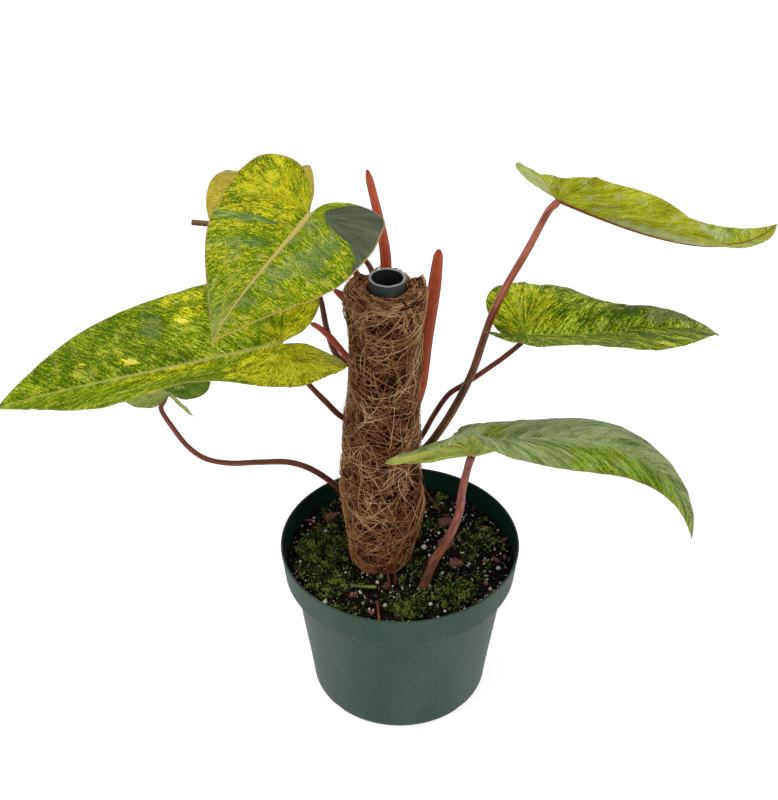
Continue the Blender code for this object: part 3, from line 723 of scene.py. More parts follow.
def earthLook():
    look = Look("potting mix", Specular_IOR_Level=0.03)
    where = look.place()
    fine = look.noise(where, 1500, 4, 0.7)
    damp = look.noise(where, 90, 3)
    colour = look.ramp(look.mark("tone") * 0.7 + fine * 0.5 + damp * 0.25,
                       [(0.4, soilColours["black"]), (0.78, soilColours["brown"]), (1.0, soilColours["dry"])])
    return look.finish(colour, 0.7 + 0.25 * fine, fine + 0.4 * look.cells(where, 900), 0.8, 0.6)


def perliteLook():
    look = Look("perlite", Specular_IOR_Level=0.3)
    where = look.place()
    pores = look.cells(where, 2200)
    stain = look.band(look.noise(where, 120, 4), 0.42, 0.7)
    colour = look.blend(stain * 0.8, soilColours["perlite"], soilColours["stain"])
    colour = look.blend(look.mark("tone"), colour, soilColours["oldGrain"])
    # painted shade: the pores are tinted grey, as shade in the perlite's dimples
    shadedDimples = look.ramp(pores, [(0.1, soilColours["poreShade"]), (0.5, (1, 1, 1))])
    return look.finish(look.tint(colour, shadedDimples, 0.6), 0.8, pores, 0.7, 0.5)


def buildMound(look):
    plan, around = soilPlan, soilPlan["around"]
    angle = fullTurn(around)[None]
    share = np.linspace(0, 1, plan["rings"])[:, None] ** 0.9
    axis = poleAxis(np.array(plan["top"]))
    x = (axis[0] - 1 + plan["poleReach"] * np.cos(angle)) * (1 - share) + plan["wall"] * np.cos(angle) * share
    y = (axis[1] + plan["poleReach"] * np.sin(angle)) * (1 - share) + plan["wall"] * np.sin(angle) * share
    flat = np.stack([x, y, 0 * x], -1)
    rough = 0.75 * wobble(flat, 7, 21) + 0.5 * wobble(flat, 3.1, 22) + 0.3 * wobble(flat, 1.6, 23)
    fade = 1 - 0.7 * ease(0.93, 1.0, share)
    top = np.stack([x, y, soilHeight(x, y) + rough * fade - 0.4], -1)
    skirt = turned(soilSkirt, around, lambda z: poleAxis(z) * (1, 1, 0) - (1, 0, 0))
    grid = np.concatenate([skirt[::-1], top, turned(soilWall, around), skirt[-1:]])
    Shape().addGrid(grid, wrap=True, tone=0.35).build("soilMound", look, "soil", ["potting_soil"])


def buildSoil():
    rng = np.random.default_rng(5)
    look = earthLook()
    buildMound(look)
    spots = soilSpots(soilPlan["granules"], rng)
    sizes = rng.lognormal(-0.25, 0.42, (len(spots), 1)) * rng.uniform(0.6, 1.25, (len(spots), 3))
    heights = soilHeight(*spots.T) + rng.uniform(-0.6, 0.7, len(spots))
    tone = rng.beta(1.4, 2.6, (len(spots), 1, 1))
    grains = lumps(np.column_stack([spots, heights]), np.minimum(sizes, 2.4), rng)
    Shape().addGrids(grains, wrap=True, tone=tone).build("soilGranules", look, "soil", weld=False, sharp=38)

    spots = soilSpots(soilPlan["perlite"], rng, 71)
    sizes = np.clip(rng.lognormal(-1.0, 0.6, (len(spots), 1)), 0.2, 1.7)
    sizes = sizes * rng.uniform(0.75, 1.15, (len(spots), 3))
    heights = soilHeight(*spots.T) + 0.8 + sizes[:, 2] * 0.3
    tone = rng.beta(0.8, 2.0, (len(spots), 1, 1))
    grains = lumps(np.column_stack([spots, heights]), sizes, rng, 9, 12, 0.1)
    Shape().addGrids(grains, wrap=True, tone=tone).build("perliteGrains", perliteLook(), "litter", weld=False)
    print("soil built")


mossSteps = 4  # rings along a stem or a leaflet


def mossShoots(centres, lengths, rng, leaflets=7):
    # each shoot is a stem with small leaflets standing out from it
    many = len(centres)
    lean = unit(np.column_stack([rng.normal(0, 0.45, (many, 2)), np.ones(many)]))
    bend = rng.normal(0, 0.35, (many, 3)) * (1, 1, 0)
    steps = np.linspace(0, 1, mossSteps)[None, :, None]

    def along(share):
        drift = lean[:, None] * share + bend[:, None] * share ** 2
        return centres[:, None] + drift * lengths[:, None, None]

    stems = along(steps)
    roots = along(rng.uniform(0.25, 1.0, (many, leaflets, 1)))
    turn = rng.uniform(0, math.tau, (many, leaflets))
    outward = ahead(turn, rng.uniform(0.1, 0.9, (many, leaflets)))
    size = (lengths[:, None] * rng.uniform(0.22, 0.5, (many, leaflets))).reshape(-1, 1, 1)
    roots, outward = roots.reshape(-1, 1, 3), unit(outward.reshape(-1, 1, 3))
    return stems, roots + outward * steps * size - np.array([0, 0, 0.35]) * steps ** 2 * size


def growMoss(name, look, rng, spots, heights, lengths, stands=()):
    stems, blades = mossShoots(np.column_stack([spots, heights]), lengths, rng)
    flat = onFloor(spots)
    clump = 0.5 + 0.7 * wobble(flat, 5, 51) + 0.35 * wobble(flat, 2.2, 52)
    shape = Shape()
    for paths, thick in ((stems, 0.22), (blades, 0.42)):
        many = len(paths)
        radii = thick * np.array([0.6, 1.0, 0.8, 0.12])[None] * rng.uniform(0.7, 1.3, (many, 1))
        side = unit(rng.normal(size=3))
        fresh = np.clip(np.repeat(clump, many // len(stems)) + rng.normal(0, 0.2, many), 0, 1.2)
        shape.addGrids(strands(paths, side, radii), wrap=True, tone=fresh[:, None, None],
                       tip=np.linspace(0, 1, mossSteps)[None, :, None])
    shape.build(name, look, "moss", stands, weld=False)


def buildMoss():
    look = Look("moss", Specular_IOR_Level=0.15, Roughness=0.8)
    # painted shade and highlight: each shoot runs from the dark colour at its foot to the light one at its
    # tip; tone also changes at random between clumps
    colour = look.ramp(look.mark("tone") * 0.65 + look.mark("tip") * 0.5,
                       [(0.28, soilColours["mossShade"]), (0.64, soilColours["moss"]),
                        (1.0, soilColours["mossHighlight"])])
    look.finish(colour, None, look.noise(look.place(), 2500, 2), 0.2, 0.1)
    rng = np.random.default_rng(31)
    for node, plan in mossPlan.items():
        turn = rng.uniform(0, math.tau, plan["shoots"])
        out = np.sqrt(rng.uniform(0, 1, plan["shoots"]))
        out = out * (1 + 0.14 * np.sin(3 * turn) + rng.normal(0, 0.05))
        spots = np.array(plan["spot"]) + ahead(turn)[:, :2] * out[:, None] * plan["reach"]
        dome = plan["height"] * np.sqrt(np.clip(1.1 - out ** 2, 0, 1)) * 0.75
        knots = np.clip(0.6 + 0.9 * wobble(onFloor(spots), 4, 47), 0.1, 1.1)
        heights = soilHeight(*spots.T) + dome * knots * rng.uniform(0.5, 1.0, len(spots))
        growMoss(pieceName(node), look, rng, spots, heights, rng.uniform(1.8, 3.8, len(spots)), [node])

    # small tufts over the whole surface, denser on the left
    centres = soilSpots(soilPlan["strayClumps"], rng, 68)
    patchy = wobble(onFloor(centres), 24, 44) + 0.3 * np.sign(-centres[:, 0] - 15)
    centres = centres[patchy + rng.uniform(-0.5, 0.5, len(centres)) > -0.1]
    members = rng.integers(3, 26, len(centres))
    spread = np.repeat(members ** 0.5 * rng.uniform(0.3, 0.6, len(centres)), members)[:, None]
    spots = np.repeat(centres, members, 0) + rng.normal(0, 1, (members.sum(), 2)) * spread
    spots = spots[(np.hypot(*spots.T) < 71.5) & (fromPole(*spots.T) > 20)]
    heights = soilHeight(*spots.T) + 0.6
    growMoss("moss-scattered", look, rng, spots, heights, rng.uniform(1.2, 3.2, len(spots)))
    print("moss built")


barkColours = dict(dark=(0.008, 0.003, 0.002), middle=(0.085, 0.032, 0.024), pale=(0.28, 0.125, 0.095))
rootletColours = dict(dark=(0.03, 0.014, 0.008), middle=(0.10, 0.06, 0.035), pale=(0.26, 0.20, 0.14))


def barkLook():
    look = Look("bark", Specular_IOR_Level=0.2)
    where = look.place()
    grain = look.noise(look.scaled(where, (1, 0.25, 1)), 900, 5, 0.7)
    layers = look.noise(where, 160, 3)
    colour = look.ramp(grain * 0.7 + layers * 0.3 + look.mark("tone") * 0.25 - 0.1,
                       [(0.3, barkColours["dark"]), (0.5, barkColours["middle"]),
                        (0.75, barkColours["pale"])])
    return look.finish(colour, 0.7 + 0.25 * grain, grain + layers * 0.5, 0.7, 0.6)


# outlines up the side of a chip, as (share of its reach, share of its thickness)
chipLevels = np.array([(0.02, 0.0), (0.95, 0.0), (1.0, 0.15), (0.98, 0.75), (0.93, 0.97), (0.6, 1.05),
                       (0.3, 1.0), (0.02, 1.02)])
chipPlan = dict(corners=6, around=30)


def chip(rng, size, turn, spot, height, rough):
    # a flat splinter with a many-cornered outline; size is its length, width and thickness
    corners, around = chipPlan["corners"], chipPlan["around"]
    turns = (np.arange(corners) + rng.uniform(-0.3, 0.3, corners)) * math.tau / corners
    reach = rng.uniform(0.7, 1.2, corners)
    knots = np.stack([reach * np.cos(turns), reach * np.sin(turns)])[:, [*range(corners), 0]]
    steps = np.linspace(0, corners, around, endpoint=False)
    edge = np.stack([np.interp(steps, range(corners + 1), knot) for knot in knots], -1)
    edge = edge + 0.05 * np.sin(7 * steps + rough)[:, None]
    flat = edge[None] * chipLevels[:, :1, None] * np.array(size[:2]) / 2
    rise = np.broadcast_to(chipLevels[:, 1, None, None] * size[2], (len(chipLevels), around, 1))
    grid = np.concatenate([flat, rise], -1)
    grid[..., 2] += 0.35 * wobble(grid + rough * 9, 5, 6) * (grid[..., 2] > 0)
    spin = math.radians(turn)
    flat = grid[..., :2] @ np.array([[math.cos(spin), math.sin(spin)], [-math.sin(spin), math.cos(spin)]])
    return np.concatenate([flat + np.array(spot), grid[..., 2:] + height], -1)


def buildRootlets(rng):
    # thin rootlets and straw lying on the soil
    look = Look("dry rootlets", Specular_IOR_Level=0.2, Roughness=0.8)
    stops = [(0.5 * step, colour) for step, colour in enumerate(rootletColours.values())]
    look.finish(look.ramp(look.mark("tone"), stops), None, look.noise(look.place(), 1500, 2), 0.3, 0.1)
    count = soilPlan["rootlets"]
    spots = soilSpots(count, rng, 66, 24)
    heading = rng.uniform(0, math.tau, count)
    t = np.linspace(-0.5, 0.5, 9)[None, :, None]
    length = rng.uniform(5, 20, count)[:, None, None]
    bend = (t ** 2 - 0.1) * length * rng.normal(0, 0.7, count)[:, None, None]
    paths = onFloor(spots)[:, None] + ahead(heading)[:, None] * t * length + aside(heading)[:, None] * bend
    reach = np.hypot(paths[..., 0], paths[..., 1])
    paths[..., :2] *= np.minimum(1, 70 / reach)[..., None]
    ripple = 0.5 * np.sin(9 * t[..., 0] + heading[:, None])
    paths[..., 2] = soilHeight(paths[..., 0], paths[..., 1]) + 1.4 + ripple
    radii = rng.uniform(0.08, 0.2, (count, 1)) * (1 - 0.7 * np.abs(2 * t[0, :, 0]) ** 4)
    buildStrands("rootlets", look, "litter", paths, np.array([0.0, 0, 1]), radii,
                 tone=rng.uniform(0, 1, (count, 1, 1)))


def buildBark():
    look = barkLook()
    rng = np.random.default_rng(12)
    for node, plan in barkPlan.items():
        rough = rng.uniform(0, 9)
        grid = chip(rng, plan["size"], plan["turn"], plan["spot"], soilPlan["top"] + 0.9, rough)
        Shape().addGrid(grid, wrap=True, tone=0.6).build(pieceName(node), look, "bark", [node], sharp=50)
    bits = Shape()
    for spot in soilSpots(soilPlan["barkBits"], rng, 70):
        size = np.array([rng.uniform(2.5, 8), rng.uniform(1.5, 4), rng.uniform(0.8, 1.6)])
        turn, rough = rng.uniform(0, 180), rng.uniform(0, 9)
        grid = chip(rng, size, turn, spot, float(soilHeight(*spot)) + 0.3, rough)
        bits.addGrid(grid, wrap=True, tone=rng.uniform(0, 1.4))
    bits.build("bark-bits", look, "bark", sharp=50)
    buildRootlets(rng)
    print("bark built")


stemPlan = dict(route=((-24, 36, 90), (-29, 32, 126), (-19, 35, 155), (-3, 35, 180), (1, 34, 215),
                       (-5, 34.5, 250), (-11, 34, 283)),
                radius=(5.2, 4.0), joints=(0.22, 0.4, 0.56, 0.72, 0.86), clingers=5)
stalkPlans = {  # tip is where a stalk enters its leaf
    "stalk_upper_left": dict(
        route=((-15.8, 31, 289), (-20.2, 20, 305), (-31.6, 5, 325), (-43, -13, 346), (-48, -20.5, 354.5)),
        radius=(1.7, 1.2), tip=(-49.4, -22.9, 357.6), look="red"),
    "stalk_back_left": dict(
        route=((-5.2, 35, 213), (-24, 34.5, 221), (-38.2, 33, 231), (-44.4, 32, 251), (-47.9, 31, 274),
               (-56, 29, 299.5), (-67, 25, 324), (-76.8, 19, 343)),
        radius=(2.4, 1.2), tip=(-78.4, 18.4, 346.4), look="dark"),
    "stalk_cut": dict(
        route=((-14.5, 38, 268), (-30, 39, 290), (-62, 40, 312), (-94, 34, 320), (-120, 30, 325)),
        radius=(2.0, 1.7), look="olive"),
    "stalk_long_left": dict(
        route=((-13.6, 35.5, 174), (-22, 33.5, 181), (-35.6, 25, 191), (-46, 15, 210.5), (-55.8, 5, 231),
               (-64, -3, 250), (-68.6, -7.5, 263)),
        radius=(2.2, 1.4), tip=(-69.8, -8.7, 266.6), look="dark"),
    "stalk_small_left": dict(
        route=((-37.3, 28, 131), (-54.3, 24, 149.5), (-69.8, 22, 158), (-88.5, 19, 160.5), (-107, 16, 162),
               (-121.6, 14, 167), (-131.8, 12, 178), (-140.2, 11, 194), (-145.4, 9.6, 208),
               (-143, 9.8, 214.5)),
        radius=(2.1, 1.5), tip=(-141, 10, 219.4), look="brown"),
    "stalk_upper_right": dict(
        route=((-11.4, 36.5, 151), (2, 35.5, 154), (14, 30, 161), (25.1, 27, 179.8), (35.6, 25, 203.2),
               (43.8, 23, 226.9), (49.4, 22.2, 250), (54, 21.6, 268), (61.9, 21, 289.4), (72.4, 20, 313),
               (82, 20, 336), (86.3, 20.5, 341.4)),
        radius=(3.0, 2.2), tip=(87.6, 20.6, 343.6), look="rosy"),
    "stalk_middle_right": dict(
        route=((-3.6, 38.5, 161), (5, 38.5, 159.5), (13.2, 37.3, 166.5), (21.2, 36.4, 184.4),
               (29.8, 35, 200.9), (39, 32.6, 210.4), (46.8, 30.4, 218.2), (55, 27.4, 227.4),
               (63.1, 24, 237.1), (72, 21, 248.6)),
        radius=(2.0, 1.7), tip=(73.9, 20.8, 253), look="brown"),
    "stalk_lower_right": dict(
        route=((13.5, -27, 92), (15.6, -30, 103), (20.7, -34, 124.5), (29.2, -40, 149), (34.3, -46, 173),
               (35.4, -52, 195), (38.4, -57.6, 219)),
        radius=(3.0, 2.2), tip=(39.9, -59.4, 224.4), look="salmon"),
}
# swell and reach of a stalk's thick places next to its leaf and its foot, and of the neck at the leaf
stalkForm = dict(leaf=(0.10, 5), foot=(0.16, 7), neck=(0.25, 1.2), sides=20, flatten=0.93, uneven=0.025)
stemForm = dict(joint=(0.16, 0.012), scar=(0.08, 0.005), scarAfter=0.022, sides=28, uneven=0.03)
sheathPlans = {  # widths are half widths at the foot, middle and tip; bow is how far the blade is cupped
    "sheath_top": dict(route=((-9, 34, 286), (-8.8, 33, 296), (-10, 32.4, 310), (-13.6, 32, 330),
                              (-19.3, 32, 357)),
                       widths=(3.2, 3.1, 2.0), thickness=1.1, bow=0.5),
    "sheath_right": dict(route=((9.5, 33.5, 192), (13, 31, 212), (15.3, 27, 245.5), (16.7, 25, 261),
                                (19.2, 22, 284), (20.6, 21, 300), (21.6, 20, 313)),
                         widths=(2.6, 4.1, 2.4), thickness=1.2, bow=0.5),
    "sheath_left": dict(route=((-29.5, 28, 230), (-33.1, 27, 235.4), (-37.6, 23, 245), (-42.7, 20, 254),
                               (-47.8, 18, 260.6), (-53, 16, 266)),
                        widths=(1.9, 2.1, 1.7), thickness=0.9, bow=0.4),
    "sheath_stub": dict(route=((-29.5, 26, 273), (-34, 24, 279), (-39, 22, 285)),
                        widths=(2.0, 2.5, 1.2), thickness=0.8, bow=0.4),
}
sprigPlans = {
    "aerial_root_left": dict(route=((-7, -28, 99.6), (-8, -26.4, 108), (-10, -27.6, 120)), radius=(0.9, 0.5),
                             look="brown", slot="root"),
    "aerial_root_right": dict(route=((-3, -27, 99.6), (-3.6, -25.6, 110), (-5, -27, 124)), radius=(0.7, 0.5),
                              look="rust", slot="root"),
    "dry_stem": dict(route=((27, 44, 99.8), (21, 46, 109), (14, 49, 120)), radius=(0.7, 0.6), look="brown",
                     slot="litter"),
    "stem_bud": dict(route=((-37, 27.2, 136), (-37, 26.6, 141), (-36, 26.4, 146)), radius=(2.0, 1.2),
                     look="green", slot="stem"),
    "green_curl": dict(route=((-31, -30, 100.4), (-23, -32, 101.4), (-15, -31.5, 100.6)), radius=(1.2, 1.0),
                       look="lime", slot="litter"),
    "dry_sliver": dict(route=((-14.5, -44, 100.2), (-13.5, -54, 100.6), (-13, -64, 100.1)), radius=(1.0, 0.6),
                       look="rust", slot="litter"),
}
stalkColours = dict(  # foot and tip are the colours at a stalk's two ends
    red=dict(foot=(0.19, 0.038, 0.024), tip=(0.26, 0.048, 0.030), pale=(0.40, 0.13, 0.09)),
    dark=dict(foot=(0.150, 0.038, 0.023), tip=(0.095, 0.018, 0.010), pale=(0.24, 0.085, 0.060)),
    olive=dict(foot=(0.09, 0.06, 0.022), tip=(0.16, 0.10, 0.05), pale=(0.24, 0.17, 0.10)),
    brown=dict(foot=(0.16, 0.042, 0.026), tip=(0.18, 0.036, 0.021), pale=(0.26, 0.11, 0.085)),
    rosy=dict(foot=(0.110, 0.045, 0.012), tip=(0.36, 0.105, 0.066), pale=(0.46, 0.20, 0.15)),
    salmon=dict(foot=(0.20, 0.074, 0.042), tip=(0.225, 0.055, 0.038), pale=(0.42, 0.20, 0.16)),
    green=dict(foot=(0.05, 0.105, 0.040), tip=(0.07, 0.15, 0.07), pale=(0.15, 0.25, 0.14)),
    lime=dict(foot=(0.11, 0.12, 0.018), tip=(0.22, 0.22, 0.035), pale=(0.42, 0.38, 0.10)),
    rust=dict(foot=(0.13, 0.035, 0.010), tip=(0.30, 0.085, 0.022), pale=(0.50, 0.22, 0.10)))
vineColours = dict(green=(0.085, 0.10, 0.022), brown=(0.12, 0.06, 0.025), joint=(0.16, 0.10, 0.055),
                   cork=(0.26, 0.19, 0.12))
# ridge is a painted highlight along the blade's shoulders
sheathColours = dict(dark=(0.27, 0.033, 0.010), bright=(0.54, 0.110, 0.046), freckle=(0.46, 0.13, 0.07),
                     ridge=(0.62, 0.15, 0.09), edge=(0.17, 0.016, 0.014), tip=(0.14, 0.016, 0.012))
clingerColours = dict(foot=(0.13, 0.075, 0.035), tip=(0.08, 0.04, 0.02), pale=(0.32, 0.24, 0.15))


def stalkLook(name, colours):
    look = Look(name, Specular_IOR_Level=0.28)
    where = look.place()
    lengthwise, around = look.mark("lengthwise"), look.mark("around")
    streaks = look.noise(look.join(around * 6, lengthwise * 7), 1.3, 4, 0.65)
    flecks = look.band(look.noise(look.join(around * 16, lengthwise * 70), 1.2, 2, 0.6), 0.58, 0.72)
    blotch = look.noise(where, 110, 3)
    change = look.band(lengthwise + (blotch - 0.5) * 0.4, 0.3, 0.92)
    colour = look.blend(change, colours["foot"], colours["tip"])
    colour = look.tint(colour, look.ramp(streaks, [(0.40, (0.46, 0.38, 0.36)), (0.60, (1.50, 1.48, 1.48))]))
    colour = look.blend(flecks * 0.3, colour, colours["pale"])
    ends = look.band(lengthwise, 0.05, 0.0) + look.band(lengthwise, 0.975, 1.0)
    colour = look.blend(ends * 0.35, colour, look.tint(colour, (0.45, 0.4, 0.4)))
    height = streaks + 0.5 * flecks + 0.4 * look.noise(where, 1500, 2)
    return look.finish(colour, 0.36 + 0.2 * streaks, height, 0.25, 0.3)


def swelling(form, distance):
    amount, reach = form
    return amount * np.exp(-(distance / reach) ** 2)


def buildStalk(node, plan, look, slot):
    # a stalk swells where it leaves the stem and just before its leaf
    form, route, leafy = stalkForm, [*plan["route"]], "tip" in plan
    if leafy:
        route.append(plan["tip"])
    path = smoothPath(route, 12)
    travel = np.concatenate([[0], np.cumsum(np.linalg.norm(np.diff(path, axis=0), axis=1))])
    share = travel / travel[-1]
    radius = between(plan["radius"], share)
    if leafy:
        left = travel[-1] - travel
        radius = radius * (1 + swelling(form["leaf"], left) + swelling(form["foot"], travel))
        radius = radius * (1 - swelling(form["neck"], left))
    radius = radius * (1 + form["uneven"] * wobble(path, 14, len(node)))
    path, radius = capped(path, radius, (0.4, 0.4 if leafy else 0.15))
    share = np.interp(np.arange(len(path)), np.arange(len(share)) + capRings, share)
    around = np.abs(np.linspace(-1, 1, form["sides"], endpoint=False))
    grid = tube(path, radius, form["sides"], form["flatten"])
    Shape().addGrid(grid, wrap=True, lengthwise=share[None, :, None], around=around[None, None]).build(
        pieceName(node), look, slot, [node])


def vineLook():
    colours, look = vineColours, Look("vine stem", Specular_IOR_Level=0.25)
    where = look.place()
    cork = look.noise(look.scaled(where, (1, 1, 0.3)), 700, 4, 0.7)
    blotch = look.noise(where, 110, 3)
    colour = look.blend(look.band(blotch, 0.35, 0.65), colours["green"], colours["brown"])
    colour = look.blend(look.mark("joint"), colour, colours["joint"])
    colour = look.blend(look.band(cork, 0.58, 0.75) * 0.7, colour, colours["cork"])
    return look.finish(colour, 0.5 + 0.3 * cork, cork + blotch * 0.4, 0.5, 0.5)


def buildStem():
    form = stemForm
    path = smoothPath(stemPlan["route"], 22)
    share = np.linspace(0, 1, len(path))
    (swell, reach), (dent, dentReach) = form["joint"], form["scar"]
    joint = sum(swelling((1, reach), share - spot) for spot in stemPlan["joints"])
    scar = sum(swelling((1, dentReach), share - spot - form["scarAfter"]) for spot in stemPlan["joints"])
    radius = between(stemPlan["radius"], share)
    radius = radius * (1 + swell * joint - dent * scar + form["uneven"] * wobble(path, 16, 2))
    path, radius = capped(path, radius, (0.2, 0.7))
    joint = np.clip(np.pad(joint, capRings), 0, 1)
    Shape().addGrid(tube(path, radius, form["sides"]), wrap=True, joint=joint[None, :, None]).build(
        "vineStem", vineLook(), "stem", ["vine_stem"])


def buildClingers():
    # short roots from the stem's joints into the coir
    rng = np.random.default_rng(9)
    steps, sides = 14, 8
    roots = []
    for spot in stemPlan["joints"]:
        start = curveAt(stemPlan["route"], spot * (len(stemPlan["route"]) - 1))
        for _ in range(stemPlan["clingers"]):
            drift = rng.normal(0, 1, 3) * (13, 3, 10)
            middle = start + (drift[0] * 0.45, -4, drift[2] * 0.5)
            angle = math.atan2(start[1], start[0] + drift[0] + 9)
            end, _ = sleevePoint(np.array(angle), np.array(start[2] + drift[2]), np.array(-0.4))
            roots.append(curveAt([start, middle, end], np.linspace(0, 2, steps)))
    radii = rng.uniform(0.5, 1.1, (len(roots), 1)) * np.linspace(1.1, 0.45, steps)[None]
    buildStrands("clingingRoots", stalkLook("clinging root", clingerColours), "root", np.array(roots),
                 np.array([0.0, 1, 0.2]), radii, sides,
                 lengthwise=np.linspace(0.1, 0.9, steps)[None, :, None],
                 around=np.abs(np.linspace(-1, 1, sides))[None, None])


def sheathLook():
    colours, look = sheathColours, Look("red sheath", Specular_IOR_Level=0.2)
    lengthwise, around, edge = look.mark("lengthwise"), look.mark("around"), look.mark("edge")
    lines = look.noise(look.join(around * 11, lengthwise * 5), 1.5, 4, 0.6)
    freckles = look.band(look.noise(look.place(), 900, 4, 0.7), 0.52, 0.68)
    colour = look.blend(look.band(lines, 0.35, 0.65), colours["dark"], colours["bright"])
    across = look.maths("ABSOLUTE", around)
    # painted highlight: a pale pinkish band along each shoulder of the cupped blade
    ridge = look.band(across, 0.5, 0.68) * look.band(across, 0.92, 0.78)
    colour = look.blend(freckles * 0.35, colour, colours["freckle"])
    colour = look.blend(ridge * 0.5, colour, colours["ridge"])
    colour = look.blend(look.band(edge, 0.35, 0.75) * 0.85, colour, colours["edge"])
    colour = look.blend(look.band(lengthwise, 0.95, 1.0) * 0.5, colour, colours["tip"])
    return look.finish(colour, 0.42 + 0.2 * lines, lines + freckles * 0.3, 0.35, 0.4)


def buildSheath(node, plan, look):
    # a thin cupped blade: its front is the bowed line, its back lies a little behind
    path = smoothPath(plan["route"], 16)
    share = np.linspace(0, 1, len(path))
    foot, middle, tip = plan["widths"]
    swell = 2 * middle - (foot + tip) / 2
    width = foot * (1 - share) ** 2 + 2 * swell * share * (1 - share) + tip * share ** 2
    rounding = np.sqrt(np.clip((1.006 - share) / 0.06, 0.02, 1))
    width, depth = width * rounding, plan["thickness"] * rounding
    across, third = sweepFrame(path)
    span = np.linspace(-1, 1, 13)
    front = plan["bow"] * (1 - np.abs(span) ** 1.7) * 1.9
    back = front - (0.32 + 0.55 * (1 - span ** 2))
    u, v = np.concatenate([span, span[::-1]]), np.concatenate([front, back[::-1]])
    sideways = across[:, None] * (u * width[:, None])[..., None]
    grid = path[:, None] + sideways + third[:, None] * (v * depth[:, None])[..., None]
    grid = grid + third[:, None] * (0.25 * wobble(grid, 11, 3))[..., None]
    marks = dict(lengthwise=share[None, :, None], around=u[None, None], edge=np.abs(u[None, None]) ** 5)
    Shape().addGrid(grid, wrap=True, **marks).build(pieceName(node), look, "sheath", [node])


def buildStems():
    looks = {name: stalkLook(name + " stalk", colours) for name, colours in stalkColours.items()}
    buildStem()
    buildClingers()
    for node, plan in stalkPlans.items():
        buildStalk(node, plan, looks[plan["look"]], "stalk")
    look = sheathLook()
    for node, plan in sheathPlans.items():
        buildSheath(node, plan, look)
    for node, plan in sprigPlans.items():
        buildStalk(node, plan, looks[plan["look"]], plan["slot"])
    print("stems built")


